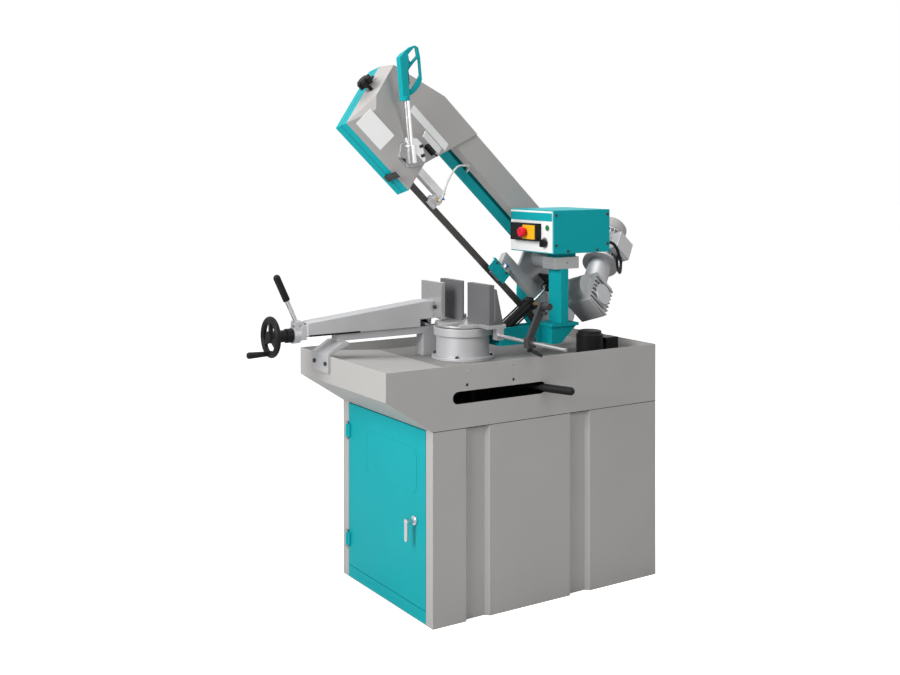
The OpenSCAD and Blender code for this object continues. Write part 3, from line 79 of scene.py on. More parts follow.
class Groups:
    """Shader node groups that the finishes share."""

    @staticmethod
    def _start(name: str, inputs: Sequence[tuple[str, str, float]], outputs: Sequence[tuple[str, str]]):
        """Opens a node group with its sockets.

        Args:
            name: Name of the group.
            inputs: Name, socket type and default of each input.
            outputs: Name and socket type of each output.

        Returns:
            The group, its input node and its output node.
        """
        group = bpy.data.node_groups.new(name, "ShaderNodeTree")
        for label, kind, value in inputs:
            socket = group.interface.new_socket(name=label, in_out="INPUT", socket_type=kind)
            if kind == "NodeSocketFloat":
                socket.default_value = value
        for label, kind in outputs:
            group.interface.new_socket(name=label, in_out="OUTPUT", socket_type=kind)
        return group, group.nodes.new("NodeGroupInput"), group.nodes.new("NodeGroupOutput")

    @staticmethod
    def mottle() -> bpy.types.NodeTree:
        """Slow change of tone: a colour in, the same colour lighter and darker in patches out."""
        found = bpy.data.node_groups.get("tone_patches")
        if found:
            return found
        group, source, sink = Groups._start(
            "tone_patches",
            [
                ("Colour", "NodeSocketColor", 0.0),
                ("Scale", "NodeSocketFloat", 6.0),
                ("Spread", "NodeSocketFloat", 0.05),
            ],
            [("Colour", "NodeSocketColor"), ("Mask", "NodeSocketFloat")],
        )
        nodes, links = group.nodes, group.links
        coords = nodes.new("ShaderNodeTexCoord")
        noise = nodes.new("ShaderNodeTexNoise")
        noise.inputs["Detail"].default_value = 5.0
        links.new(coords.outputs["Object"], noise.inputs["Vector"])
        links.new(source.outputs["Scale"], noise.inputs["Scale"])
        centred = nodes.new("ShaderNodeMath")
        centred.operation = "SUBTRACT"
        centred.inputs[1].default_value = 0.5
        links.new(noise.outputs["Fac"], centred.inputs[0])
        scaled = nodes.new("ShaderNodeMath")
        scaled.operation = "MULTIPLY_ADD"
        scaled.inputs[2].default_value = 1.0
        links.new(centred.outputs[0], scaled.inputs[0])
        links.new(source.outputs["Spread"], scaled.inputs[1])
        tinted = nodes.new("ShaderNodeHueSaturation")
        links.new(source.outputs["Colour"], tinted.inputs["Color"])
        links.new(scaled.outputs[0], tinted.inputs["Value"])
        links.new(tinted.outputs["Color"], sink.inputs["Colour"])
        links.new(noise.outputs["Fac"], sink.inputs["Mask"])
        return group

    @staticmethod
    def grain() -> bpy.types.NodeTree:
        """Fine grain: a roughness between two values and a height for the bump, stretched along X."""
        found = bpy.data.node_groups.get("fine_grain")
        if found:
            return found
        group, source, sink = Groups._start(
            "fine_grain",
            [
                ("Scale", "NodeSocketFloat", 600.0),
                ("Stretch", "NodeSocketFloat", 1.0),
                ("Low", "NodeSocketFloat", 0.3),
                ("High", "NodeSocketFloat", 0.5),
            ],
            [("Roughness", "NodeSocketFloat"), ("Height", "NodeSocketFloat")],
        )
        nodes, links = group.nodes, group.links
        coords = nodes.new("ShaderNodeTexCoord")
        ratio = nodes.new("ShaderNodeCombineXYZ")
        ratio.inputs["Y"].default_value = 1.0
        ratio.inputs["Z"].default_value = 1.0
        links.new(source.outputs["Stretch"], ratio.inputs["X"])
        drawn = nodes.new("ShaderNodeVectorMath")
        drawn.operation = "MULTIPLY"
        links.new(coords.outputs["Object"], drawn.inputs[0])
        links.new(ratio.outputs["Vector"], drawn.inputs[1])
        noise = nodes.new("ShaderNodeTexNoise")
        noise.inputs["Detail"].default_value = 3.0
        links.new(drawn.outputs["Vector"], noise.inputs["Vector"])
        links.new(source.outputs["Scale"], noise.inputs["Scale"])
        spread = nodes.new("ShaderNodeMapRange")
        spread.inputs["From Min"].default_value = 0.3
        spread.inputs["From Max"].default_value = 0.7
        links.new(noise.outputs["Fac"], spread.inputs["Value"])
        links.new(source.outputs["Low"], spread.inputs["To Min"])
        links.new(source.outputs["High"], spread.inputs["To Max"])
        links.new(spread.outputs["Result"], sink.inputs["Roughness"])
        links.new(noise.outputs["Fac"], sink.inputs["Height"])
        return group

    @staticmethod
    def edges() -> bpy.types.NodeTree:
        """Edge wear: a mask that is 1 along outer edges, broken up by noise."""
        found = bpy.data.node_groups.get("edge_wear")
        if found:
            return found
        group, source, sink = Groups._start(
            "edge_wear",
            [("Radius", "NodeSocketFloat", 0.002), ("Amount", "NodeSocketFloat", 0.5)],
            [("Mask", "NodeSocketFloat")],
        )
        nodes, links = group.nodes, group.links
        rounded = nodes.new("ShaderNodeBevel")
        rounded.samples = 4
        links.new(source.outputs["Radius"], rounded.inputs["Radius"])
        plain = nodes.new("ShaderNodeNewGeometry")
        turn = nodes.new("ShaderNodeVectorMath")
        turn.operation = "DOT_PRODUCT"
        links.new(rounded.outputs["Normal"], turn.inputs[0])
        links.new(plain.outputs["Normal"], turn.inputs[1])
        near = nodes.new("ShaderNodeMapRange")
        near.inputs["From Min"].default_value = 0.985
        near.inputs["From Max"].default_value = 0.86
        links.new(turn.outputs["Value"], near.inputs["Value"])
        coords = nodes.new("ShaderNodeTexCoord")
        noise = nodes.new("ShaderNodeTexNoise")
        noise.inputs["Scale"].default_value = 60.0
        links.new(coords.outputs["Object"], noise.inputs["Vector"])
        broken = nodes.new("ShaderNodeMath")
        broken.operation = "MULTIPLY"
        links.new(near.outputs["Result"], broken.inputs[0])
        links.new(noise.outputs["Fac"], broken.inputs[1])
        held = nodes.new("ShaderNodeMath")
        held.operation = "MULTIPLY"
        held.use_clamp = True
        links.new(broken.outputs[0], held.inputs[0])
        links.new(source.outputs["Amount"], held.inputs[1])
        links.new(held.outputs[0], sink.inputs["Mask"])
        return group


@dataclass(frozen=True)
class Finish:
    """One finish of the saw and the material made from it."""

    name: str
    colour: Colour
    surface: Surface
    slot: Optional[str] = None
    roughness: float = 0.45
    metallic: float = 0.0
    grain: float = 700.0
    stretch: float = 1.0
    bump: float = 0.03
    spread: float = 0.10
    wear: float = 0.25
    worn: Colour = (0.60, 0.60, 0.60)
    clear: float = 0.0
    shine: float = 0.16

    def material(self) -> bpy.types.Material:
        """The material of this finish, built the first time it is asked for."""
        label = f"{self.name}_finish"
        found = bpy.data.materials.get(label)
        if found:
            return found
        made = bpy.data.materials.new(label)
        made.use_nodes = True
        nodes, links = made.node_tree.nodes, made.node_tree.links
        shader = nodes["Principled BSDF"]
        shader.inputs["Metallic"].default_value = self.metallic
        shader.inputs["Transmission Weight"].default_value = self.clear
        shader.inputs["Specular IOR Level"].default_value = self.shine
        tone = nodes.new("ShaderNodeGroup")
        tone.node_tree = Groups.mottle()
        tone.inputs["Colour"].default_value = (*self.colour, 1.0)
        tone.inputs["Scale"].default_value = 9.0 if self.surface is Surface.CAST else 4.0
        tone.inputs["Spread"].default_value = self.spread
        grain = nodes.new("ShaderNodeGroup")
        grain.node_tree = Groups.grain()
        grain.inputs["Scale"].default_value = self.grain
        grain.inputs["Stretch"].default_value = self.stretch
        grain.inputs["Low"].default_value = max(0.05, self.roughness - 0.07)
        grain.inputs["High"].default_value = self.roughness + 0.07
        links.new(grain.outputs["Roughness"], shader.inputs["Roughness"])
        bump = nodes.new("ShaderNodeBump")
        bump.inputs["Strength"].default_value = self.bump
        bump.inputs["Distance"].default_value = 0.001
        links.new(grain.outputs["Height"], bump.inputs["Height"])
        links.new(bump.outputs["Normal"], shader.inputs["Normal"])
        if self.wear > 0.0:
            edge = nodes.new("ShaderNodeGroup")
            edge.node_tree = Groups.edges()
            edge.inputs["Amount"].default_value = self.wear
            rubbed = nodes.new("ShaderNodeMix")
            rubbed.data_type = "RGBA"
            rubbed.inputs["B"].default_value = (*self.worn, 1.0)
            links.new(edge.outputs["Mask"], rubbed.inputs["Factor"])
            links.new(tone.outputs["Colour"], rubbed.inputs["A"])
            links.new(rubbed.outputs["Result"], shader.inputs["Base Color"])
        else:
            links.new(tone.outputs["Colour"], shader.inputs["Base Color"])
        return made


GREY = Finish("grey_paint", (0.40, 0.388, 0.378), Surface.PAINT, "grey_paint", 0.50, 0.0, 900.0,
              worn=(0.58, 0.57, 0.56))
TEAL = Finish("teal_paint", (0.005, 0.33, 0.365), Surface.PAINT, "teal_paint", 0.42, 0.0, 900.0,
              wear=0.35, worn=(0.06, 0.48, 0.51), shine=0.08)
ALU = Finish("cast_aluminium", (0.50, 0.50, 0.51), Surface.CAST, "cast_alu", 0.48, 0.35, 420.0, bump=0.10,
             spread=0.16, wear=0.5, worn=(0.78, 0.78, 0.78))
STEEL = Finish("machined_steel", (0.56, 0.56, 0.56), Surface.BRUSHED, "machined_steel", 0.32, 0.75, 260.0,
               9.0, bump=0.05, spread=0.12, wear=0.4, worn=(0.82, 0.82, 0.82))
DARK = Finish("dark_steel", (0.045, 0.045, 0.047), Surface.CAST, "dark_steel", 0.42, 0.05, 500.0, bump=0.08,
              spread=0.25, wear=0.4, worn=(0.22, 0.22, 0.22))
IRON = Finish("ground_iron", (0.15, 0.15, 0.156), Surface.CAST, "dark_steel", 0.40, 0.15, 420.0, bump=0.06,
              spread=0.2, wear=0.5, worn=(0.45, 0.45, 0.45))
ZINC = Finish("zinc_plate", (0.66, 0.66, 0.67), Surface.BRUSHED, "zinc", 0.24, 0.95, 300.0, 6.0, bump=0.03,
              wear=0.3, worn=(0.85, 0.85, 0.85))
BLACK = Finish("black_plastic", (0.011, 0.011, 0.012), Surface.MOULDED, "black_plastic", 0.42, 0.0, 1100.0,
               bump=0.05, spread=0.20, wear=0.35, worn=(0.06, 0.06, 0.06), shine=0.12)
WHITE = Finish("white_panel", (0.80, 0.80, 0.80), Surface.PAINT, "white_panel", 0.34, 0.0, 1200.0, bump=0.015,
               spread=0.03, wear=0.0)
RED = Finish("red_plastic", (0.62, 0.012, 0.03), Surface.MOULDED, "red_plastic", 0.30, 0.0, 1200.0, bump=0.02,
             spread=0.06, wear=0.2, worn=(0.75, 0.12, 0.12))
GREEN = Finish("green_plastic", (0.006, 0.20, 0.03), Surface.MOULDED, "green_plastic", 0.28, 0.0, 1200.0,
               bump=0.02, spread=0.06, wear=0.0)
YELLOW = Finish("yellow_plastic", (0.80, 0.42, 0.012), Surface.MOULDED, None, 0.36, 0.0, 1200.0, bump=0.02,
                spread=0.05, wear=0.2, worn=(0.85, 0.60, 0.15))
BLUE = Finish("blue_plastic", (0.01, 0.14, 0.62), Surface.MOULDED, None, 0.36, 0.0, 1200.0, bump=0.02,
              spread=0.05, wear=0.0)
BRASS = Finish("brass", (0.52, 0.33, 0.11), Surface.BRUSHED, None, 0.30, 0.9, 300.0, 5.0, bump=0.03,
               spread=0.12, wear=0.0)
# Darker grey for the tray's floor, darker than the tray's other faces.
DARKER_TRAY_FLOOR = Finish("darker_tray_floor", (0.235, 0.23, 0.225), Surface.PAINT, None, 0.58, 0.0, 500.0, bump=0.06,
               spread=0.35, wear=0.0)
BLADE = Finish("blade_steel", (0.07, 0.066, 0.062), Surface.BRUSHED, "blade_steel", 0.40, 0.35, 300.0, 12.0,
               bump=0.04, spread=0.20, wear=0.3, worn=(0.30, 0.29, 0.28))
HOSE = Finish("clear_hose", (0.72, 0.72, 0.70), Surface.MOULDED, "hose", 0.22, 0.0, 900.0, bump=0.01,
              spread=0.05, wear=0.0, clear=0.35)
CABLE = Finish("cable_sheath", (0.011, 0.011, 0.012), Surface.MOULDED, "cable", 0.46, 0.0, 900.0, bump=0.04,
               spread=0.15, wear=0.0, shine=0.12)


def clear_selection() -> None:
    """Leaves edit mode and deselects everything."""
    if bpy.context.object and bpy.context.object.mode != "OBJECT":
        bpy.ops.object.mode_set(mode="OBJECT")
    bpy.ops.object.select_all(action="DESELECT")


def pick(obj: bpy.types.Object) -> None:
    """Selects one object and makes it the active one."""
    clear_selection()
    obj.select_set(True)
    bpy.context.view_layer.objects.active = obj


def choose(obj: bpy.types.Object, test: FaceTest) -> None:
    """Enters edit mode with the faces selected that pass a test.

    Args:
        obj: Mesh object to edit.
        test: Called with each face's centre and normal.
    """
    pick(obj)
    bpy.ops.object.mode_set(mode="EDIT")
    bpy.ops.mesh.select_mode(type="FACE")
    bpy.ops.mesh.select_all(action="DESELECT")
    cage = bmesh.from_edit_mesh(obj.data)
    for face in cage.faces:
        face.select_set(test(face.calc_center_median(), face.normal))
    bmesh.update_edit_mesh(obj.data)


def leave_edit() -> None:
    """Goes back to object mode."""
    bpy.ops.object.mode_set(mode="OBJECT")


def round_edges(obj: bpy.types.Object, width: float, segments: int = 2, angle: float = SHARP) -> None:
    """Rounds the sharp edges of a piece with a bevel and applies it.

    Args:
        obj: Piece to round.
        width: Width of the bevel in metres.
        segments: Steps across the bevel.
        angle: Edges sharper than this, in degrees, are rounded.
    """
    pick(obj)
    bevel = obj.modifiers.new("round", "BEVEL")
    bevel.width = width
    bevel.segments = segments
    bevel.limit_method = "ANGLE"
    bevel.angle_limit = math.radians(angle)
    bevel.use_clamp_overlap = False
    bpy.ops.object.modifier_apply(modifier=bevel.name)


def settle(obj: bpy.types.Object, place: Optional[Matrix] = None) -> None:
    """Moves a piece by a matrix, if one is given, and writes its place into its mesh."""
    pick(obj)
    if place is not None:
        obj.matrix_world = place @ obj.matrix_world
    bpy.ops.object.transform_apply(location=True, rotation=True, scale=True)


def hand_over(obj: bpy.types.Object, body: str, finish: Finish, angle: float = 35.0) -> bpy.types.Object:
    """Smooths a finished piece, gives it its material and lets it ride on its body.

    Args:
        obj: The piece, in place.
        body: Body that carries it.
        finish: Its finish.
        angle: Edges flatter than this, in degrees, are shaded smooth.

    Returns:
        The piece.
    """
    pick(obj)
    bpy.ops.object.shade_smooth_by_angle(angle=math.radians(angle))
    level = obj.modifiers.new("flat_faces", "WEIGHTED_NORMAL")
    level.keep_sharp = True
    bpy.ops.object.modifier_apply(modifier=level.name)
    if not obj.data.materials:
        obj.data.materials.append(finish.material())
    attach(obj, body)
    LOG.info("%s on %s", obj.name, body)
    return obj


def block(name: str, low: Sequence[float], high: Sequence[float], width: float = 0.001,
          segments: int = 2) -> bpy.types.Object:
    """A block with rounded edges between two corners.

    Args:
        name: Name of the piece.
        low: Lower corner in metres.
        high: Upper corner in metres.
        width: Width of the rounding.
        segments: Steps across the rounding.

    Returns:
        The block, in place.
    """
    clear_selection()
    middle = [(a + b) / 2 for a, b in zip(low, high)]
    bpy.ops.mesh.primitive_cube_add(size=1.0, location=middle)
    made = bpy.context.object
    made.name = name
    made.scale = [b - a for a, b in zip(low, high)]
    settle(made)
    if width > 0.0:
        round_edges(made, width, segments)
    return made


def rod(name: str, start: Sequence[float], end: Sequence[float], radius: float, sides: int = 32,
        width: float = 0.0006) -> bpy.types.Object:
    """A round rod with eased ends.

    Args:
        name: Name of the piece.
        start: Middle of one end in metres.
        end: Middle of the other end.
        radius: Radius in metres.
        sides: Sides of the round.
        width: Width of the easing.

    Returns:
        The rod, in place.
    """
    clear_selection()
    line = Vector(end) - Vector(start)
    bpy.ops.mesh.primitive_cylinder_add(vertices=sides, radius=radius, depth=line.length)
    made = bpy.context.object
    made.name = name
    middle = (Vector(start) + Vector(end)) / 2
    settle(made, Matrix.Translation(middle) @ line.to_track_quat("Z", "Y").to_matrix().to_4x4())
    if width > 0.0:
        round_edges(made, width, 2, 40.0)
    return made


def join(pieces: Sequence[bpy.types.Object], name: str) -> bpy.types.Object:
    """Joins pieces into the first one and renames it."""
    pick(pieces[0])
    for piece in pieces[1:]:
        piece.select_set(True)
    if len(pieces) > 1:
        bpy.ops.object.join()
    pieces[0].name = name
    return pieces[0]


def merge_copy(node: str, name: str) -> bpy.types.Object:
    """A merged copy of a CAD node's mesh as an object of its own, with its flat faces whole.

    Args:
        node: Name of the node.
        name: Name of the copy.

    Returns:
        The copy, at the origin.
    """
    source = frame["nodes"][node]
    clear_selection()
    made = bpy.data.objects.new(name, source.data.copy())
    bpy.context.scene.collection.objects.link(made)
    made.matrix_world = source.matrix_world.copy()
    settle(made)
    made.data.materials.clear()
    bpy.ops.mesh.customdata_custom_splitnormals_clear()
    bpy.ops.object.mode_set(mode="EDIT")
    bpy.ops.mesh.select_all(action="SELECT")
    bpy.ops.mesh.remove_doubles(threshold=WELD)
    bpy.ops.mesh.dissolve_limited(angle_limit=math.radians(FLAT))
    leave_edit()
    return made


def dress(node: str, finish: Finish, width: float = 0.0008, segments: int = 2,
          angle: float = SHARP) -> bpy.types.Object:
    """Replaces a CAD node by a copy with rounded edges and a finish.

    Args:
        node: Name of the node.
        finish: Its finish.
        width: Width of the rounding in metres.
        segments: Steps across the rounding.
        angle: Edges sharper than this, in degrees, are rounded.

    Returns:
        The dressed copy.
    """
    made = merge_copy(node, f"{node}_dressed")
    if width > 0.0:
        round_edges(made, width, segments, angle)
    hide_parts(node)
    return hand_over(made, BODY_OF[node], finish)


def repaint(obj: bpy.types.Object, finish: Finish, test: FaceTest) -> None:
    """Gives the faces that pass a test a second finish."""
    obj.data.materials.append(finish.material())
    obj.active_material_index = len(obj.data.materials) - 1
    choose(obj, test)
    bpy.ops.object.material_slot_assign()
    leave_edit()


def socket_screws(name: str, places: Sequence[tuple[Sequence[float], Sequence[float]]], radius: float,
                  height: float) -> bpy.types.Object:
    """Socket-head screws, modelled once and copied to each place.

    Args:
        name: Name of the group.
        places: Foot of each head in metres and the direction that it faces.
        radius: Radius of a head.
        height: Height of a head.

    Returns:
        The group as one object.
    """
    first = rod("screw", (0, 0, 0), (0, 0, height), radius, 20, radius * 0.10)
    choose(first, lambda centre, normal: normal.z > 0.99)
    bpy.ops.mesh.inset(thickness=radius * 0.42)
    bpy.ops.mesh.extrude_region_move(TRANSFORM_OT_translate={"value": (0, 0, -height * 0.55)})
    leave_edit()
    heads = []
    for foot, facing in places:
        head = bpy.data.objects.new("head", first.data.copy())
        bpy.context.scene.collection.objects.link(head)
        settle(head, Matrix.Translation(foot) @ Vector(facing).to_track_quat("Z", "Y").to_matrix().to_4x4())
        heads.append(head)
    bpy.data.objects.remove(first)
    return join(heads, name)


def bored(obj: bpy.types.Object, start: Sequence[float], end: Sequence[float], radius: float) -> None:
    """Cuts a round hole through a piece with a boolean that is applied at once."""
    cutter = rod("cutter", start, end, radius, 40, 0.0)
    pick(obj)
    cut = obj.modifiers.new("bore", "BOOLEAN")
    cut.operation = "DIFFERENCE"
    cut.object = cutter
    bpy.ops.object.modifier_apply(modifier=cut.name)
    bpy.data.objects.remove(cutter)


@dataclass(frozen=True)
class HeadFrame:
    """Frames of the swing head, raised as in the picture: the pivot's and the wheel plane's."""

    hinge: Point = (0.225, 0.0, 1.218)
    raised: float = 43.5
    tilt: float = 24.0
    drop: float = 0.2085

    def pivot(self) -> Matrix:
        """Frame of the cutting run: x along the blade, z up from its middle."""
        turn = Matrix.Rotation(math.radians(self.raised), 4, "Y")
        return Matrix.Translation(self.hinge) @ turn @ Matrix.Translation((0, 0, -self.drop))

    def wheels(self) -> Matrix:
        """Frame of the wheel plane: u along the blade, v to the return run, n to the operator."""
        return self.pivot() @ Matrix.Rotation(math.radians(90 - self.tilt), 4, "X")

    def loop(self, u: float, v: float, n: float) -> Vector:
        """A point of the wheel plane's frame, given in millimetres, in the row frame."""
        return self.wheels() @ Vector((u * MM, v * MM, n * MM))

    def cut(self, x: float, y: float, z: float) -> Vector:
        """A point of the cutting run's frame, given in millimetres, in the row frame."""
        return self.pivot() @ Vector((x * MM, y * MM, z * MM))


HEAD = HeadFrame()


@dataclass
class Studio:
    """Camera, floor and light of the picture."""

    eye: Point = (-2.6118, -3.7433, 1.5997)
    heading: float = -32.486
    lens: float = 46.6
    shift_y: float = -0.192
    sky: float = 0.10
    floor_lift: float = 0.88

    def camera(self) -> None:
        """Places the camera where the photograph was taken from."""
        data = bpy.data.cameras.new("camera")
        data.sensor_width = 36.0
        data.lens = self.lens
        data.shift_y = self.shift_y
        data.clip_end = 80.0
        obj = bpy.data.objects.new("camera", data)
        obj.location = self.eye
        obj.rotation_euler = (math.radians(90), 0, math.radians(self.heading))
        bpy.context.scene.collection.objects.link(obj)
        bpy.context.scene.camera = obj

    def sky_light(self) -> None:
        """A pale world that the camera and shiny surfaces see as white."""
        world = bpy.data.worlds.new("studio")
        bpy.context.scene.world = world
        world.use_nodes = True
        nodes, links = world.node_tree.nodes, world.node_tree.links
        ground = nodes["Background"]
        ground.inputs["Color"].default_value = (1, 1, 1, 1)
        path = nodes.new("ShaderNodeLightPath")
        seen = nodes.new("ShaderNodeMath")
        seen.operation = "MAXIMUM"
        links.new(path.outputs["Is Camera Ray"], seen.inputs[0])
        links.new(path.outputs["Is Glossy Ray"], seen.inputs[1])
        through = nodes.new("ShaderNodeMath")
        through.operation = "MAXIMUM"
        links.new(seen.outputs[0], through.inputs[0])
        links.new(path.outputs["Is Transmission Ray"], through.inputs[1])
        level = nodes.new("ShaderNodeMapRange")
        level.inputs["To Min"].default_value = self.sky
        level.inputs["To Max"].default_value = 1.0
        links.new(through.outputs[0], level.inputs["Value"])
        links.new(level.outputs["Result"], ground.inputs["Strength"])

    def lamps(self) -> None:
        """A large key lamp at the door end, one overhead and two weak ones at the front and the far end."""
        for name, place, aim, size, power in (
            ("key", (-4.4, -1.0, 3.0), (-0.1, 0, 0.9), 2.4, 240.0),
            ("overhead", (0.2, 0.4, 5.0), (0, 0, 1.0), 2.6, 130.0),
            ("front", (0.3, -2.6, 2.3), (0.1, 0, 1.4), 1.5, 19.0),
            ("far_end", (4.5, -3.2, 2.6), (0.2, 0, 0.9), 2.4, 10.0),
        ):
            lamp = bpy.data.lights.new(name, "AREA")
            lamp.energy = power
            lamp.size = size
            obj = bpy.data.objects.new(name, lamp)
            obj.location = place
            obj.rotation_euler = (Vector(aim) - Vector(place)).to_track_quat("-Z", "Y").to_euler()
            bpy.context.scene.collection.objects.link(obj)

    def floor(self) -> None:
        """A plain white floor that keeps the saw's shadow."""
        clear_selection()
        bpy.ops.mesh.primitive_plane_add(size=70.0)
        obj = bpy.context.object
        obj.name = "floor"
        paint = bpy.data.materials.new("floor_white")
        paint.use_nodes = True
        nodes, links = paint.node_tree.nodes, paint.node_tree.links
        shader = nodes["Principled BSDF"]
        shader.inputs["Base Color"].default_value = (0.8, 0.8, 0.8, 1)
        shader.inputs["Roughness"].default_value = 0.9
        shader.inputs["Emission Color"].default_value = (1, 1, 1, 1)
        path = nodes.new("ShaderNodeLightPath")
        lift = nodes.new("ShaderNodeMath")
        lift.operation = "MULTIPLY"
        lift.inputs[1].default_value = self.floor_lift
        links.new(path.outputs["Is Camera Ray"], lift.inputs[0])
        links.new(lift.outputs[0], shader.inputs["Emission Strength"])
        obj.data.materials.append(paint)


@dataclass
class Cords:
    """Coolant hose of the sliding guide and cable of the motor, along the routes of their solids."""

    hose_radius: float = 4.0
    cable_radius: float = 6.0
    guide_u: float = -534.0
    beam_v0: float = 247.0
    cable_start: Point = (358.4, -214.0, 1296.0)
    cable_end: Point = (210.0, 343.8, 261.0)
    cable_lead: float = 21.8

    def hose_route(self) -> list[Vector]:
        """Route of the hose from the guide block to the gap under the beam, in metres."""
        start = HEAD.cut(self.guide_u - 20, -32.3, 26)
        bends = [(0, -12, 0), (2, -24, 8), (6, -34, 30), (14, -40, 62), (34, -42, 98), (66, -38, 126)]
        route = [start] + [start + Vector(bend) * MM for bend in bends]
        for u, v, n in ((-14, -66, 108), (14, -34, 90), (34, -22, 62), (44, -10, 42), (46, 10, 34)):
            route.append(HEAD.loop(self.guide_u + u, self.beam_v0 + v, n))
        return route

    def cable_route(self) -> list[Vector]:
        """Route of the cable from the control box to the motor's terminal box, in metres."""
        start = Vector(self.cable_start) * MM
        end = HEAD.loop(*self.cable_end)
        out = [(20, 0, -1), (40, 0, -8), (56, -2, -26), (66, -4, -52), (74, -6, -82)]
        back = [(-34, -52, -58), (-26, -36, -62), (-18, -18, -46)]
        u, v, n = self.cable_end
        route = [start] + [start + Vector(p) * MM for p in out] + [end + Vector(p) * MM for p in back]
        return route + [HEAD.loop(u, v - self.cable_lead, n), end]

    @staticmethod
    def smooth(route: Sequence[Vector], steps: int = 6) -> list[Vector]:
        """A smooth line through the points of a route.

        Args:
            route: Points in metres.
            steps: Points made for each stretch.

        Returns:
            The points of the line.
        """
        ends = [2 * route[0] - route[1], *route, 2 * route[-1] - route[-2]]
        line = []
        for i in range(1, len(ends) - 2):
            a, b, c, d = ends[i - 1], ends[i], ends[i + 1], ends[i + 2]
            for k in range(steps):
                t = k / steps
                line.append(0.5 * (2 * b + (c - a) * t + (2 * a - 5 * b + 4 * c - d) * t * t
                                   + (3 * b - a - 3 * c + d) * t ** 3))
        return line + [route[-1].copy()]

    def tube(self, name: str, line: Sequence[Vector], radius: float) -> bpy.types.Object:
        """A round tube along a line, as a mesh.

        Args:
            name: Name of the piece.
            line: Points in metres.
            radius: Radius in millimetres.

        Returns:
            The tube.
        """
        clear_selection()
        data = bpy.data.curves.new(name, "CURVE")
        data.dimensions = "3D"
        data.bevel_depth = radius * MM
        data.bevel_resolution = 4
        data.use_fill_caps = True
        spline = data.splines.new("POLY")
        spline.points.add(len(line) - 1)
        for point, place in zip(spline.points, line):
            point.co = (*place, 1.0)
        made = bpy.data.objects.new(name, data)
        bpy.context.scene.collection.objects.link(made)
        pick(made)
        bpy.ops.object.convert(target="MESH")
        return bpy.context.object

    def lay(self, name: str, node: str, route: Sequence[Vector], radius: float, finish: Finish) -> None:
        """Makes one cord that joins two bodies.

        Args:
            name: Name of the piece.
            node: CAD node that it stands for.
            route: Points of its route.
            radius: Radius in millimetres.
            finish: Its finish.
        """
        line = self.smooth(route)
        made = self.tube(name, line, radius)
        bpy.ops.object.shade_smooth()
        made.data.materials.append(finish.material())
        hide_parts(node)
        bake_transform(made)

    def build(self) -> None:
        """Makes the hose and the cable."""
        self.lay("guide_hose", "coolant_hose", self.hose_route(), self.hose_radius, HOSE)
        self.lay("motor_lead", "motor_cable", self.cable_route(), self.cable_radius, CABLE)


@dataclass
class Cabinet:
    """Sheet-steel cabinet with its teal door and plinth strip."""

    half_length: float = 511.0
    half_width: float = 334.0
    height: float = 678.0
    frame_low: tuple[float, float] = (-224.0, 437.0)
    frame_high: tuple[float, float] = (147.0, 600.0)
    frame_round: float = 0.032
    frame_rim: float = 0.005
    frame_depth: float = 0.0007
    # Half height and proudness, in millimetres, of the black strip of painted shadow under the tray's wall
    shadow_half: float = 1.3
    shadow_proud: float = 0.15

    def bare_frame(self) -> None:
        """Bare plate with a raised rim and round corners on the door."""
        face = -self.half_length
        (y0, z0), (y1, z1) = self.frame_low, self.frame_high
        low = ((face - 0.9) * MM, y0 * MM, z0 * MM)
        high = ((face + 0.2) * MM, y1 * MM, z1 * MM)
        plate = block("door_plate", low, high, 0.0)
        pick(plate)
        bpy.ops.object.mode_set(mode="EDIT")
        bpy.ops.mesh.select_mode(type="EDGE")
        bpy.ops.mesh.select_all(action="DESELECT")
        cage = bmesh.from_edit_mesh(plate.data)
        for edge in cage.edges:
            along = (edge.verts[0].co - edge.verts[1].co).normalized()
            edge.select_set(abs(along.x) > 0.9)
        bmesh.update_edit_mesh(plate.data)
        bpy.ops.mesh.bevel(offset=self.frame_round, segments=8)
        leave_edit()
        choose(plate, lambda centre, normal: normal.x < -0.9)
        bpy.ops.mesh.inset(thickness=self.frame_rim)
        bpy.ops.mesh.extrude_region_move(TRANSFORM_OT_translate={"value": (self.frame_depth, 0, 0)})
        leave_edit()
        hand_over(plate, "door", TEAL)

    def painted_gap_shadow(self) -> None:
        """Black strip of painted shadow in the gap between the cabinet and the tray."""
        x, y = self.half_length, self.half_width
        z0, z1 = self.height - self.shadow_half, self.height + self.shadow_half
        # Painted shadow: a thin black strip where the tray's wall casts shade on the cabinet
        near = block("tray_gap_shadow_near", (-x * MM, (-y - self.shadow_proud) * MM, z0 * MM),
                     (x * MM, (-y + 2) * MM, z1 * MM), 0.0003, 1)
        end = block("tray_gap_shadow_end", ((x - 2) * MM, -y * MM, z0 * MM),
                    ((x + self.shadow_proud) * MM, y * MM, z1 * MM), 0.0003, 1)
        hand_over(join([near, end], "tray_gap_shadow"), "stand", BLACK)

    def build(self) -> None:
        """Dresses the cabinet and adds its small pieces."""
        dress("cabinet", GREY, 0.0005)
        dress("plinth", TEAL, 0.0004)
        dress("door", TEAL, 0.0004)
        dress("door_handle", ZINC, 0.0015, 3)
        self.bare_frame()
        self.painted_gap_shadow()


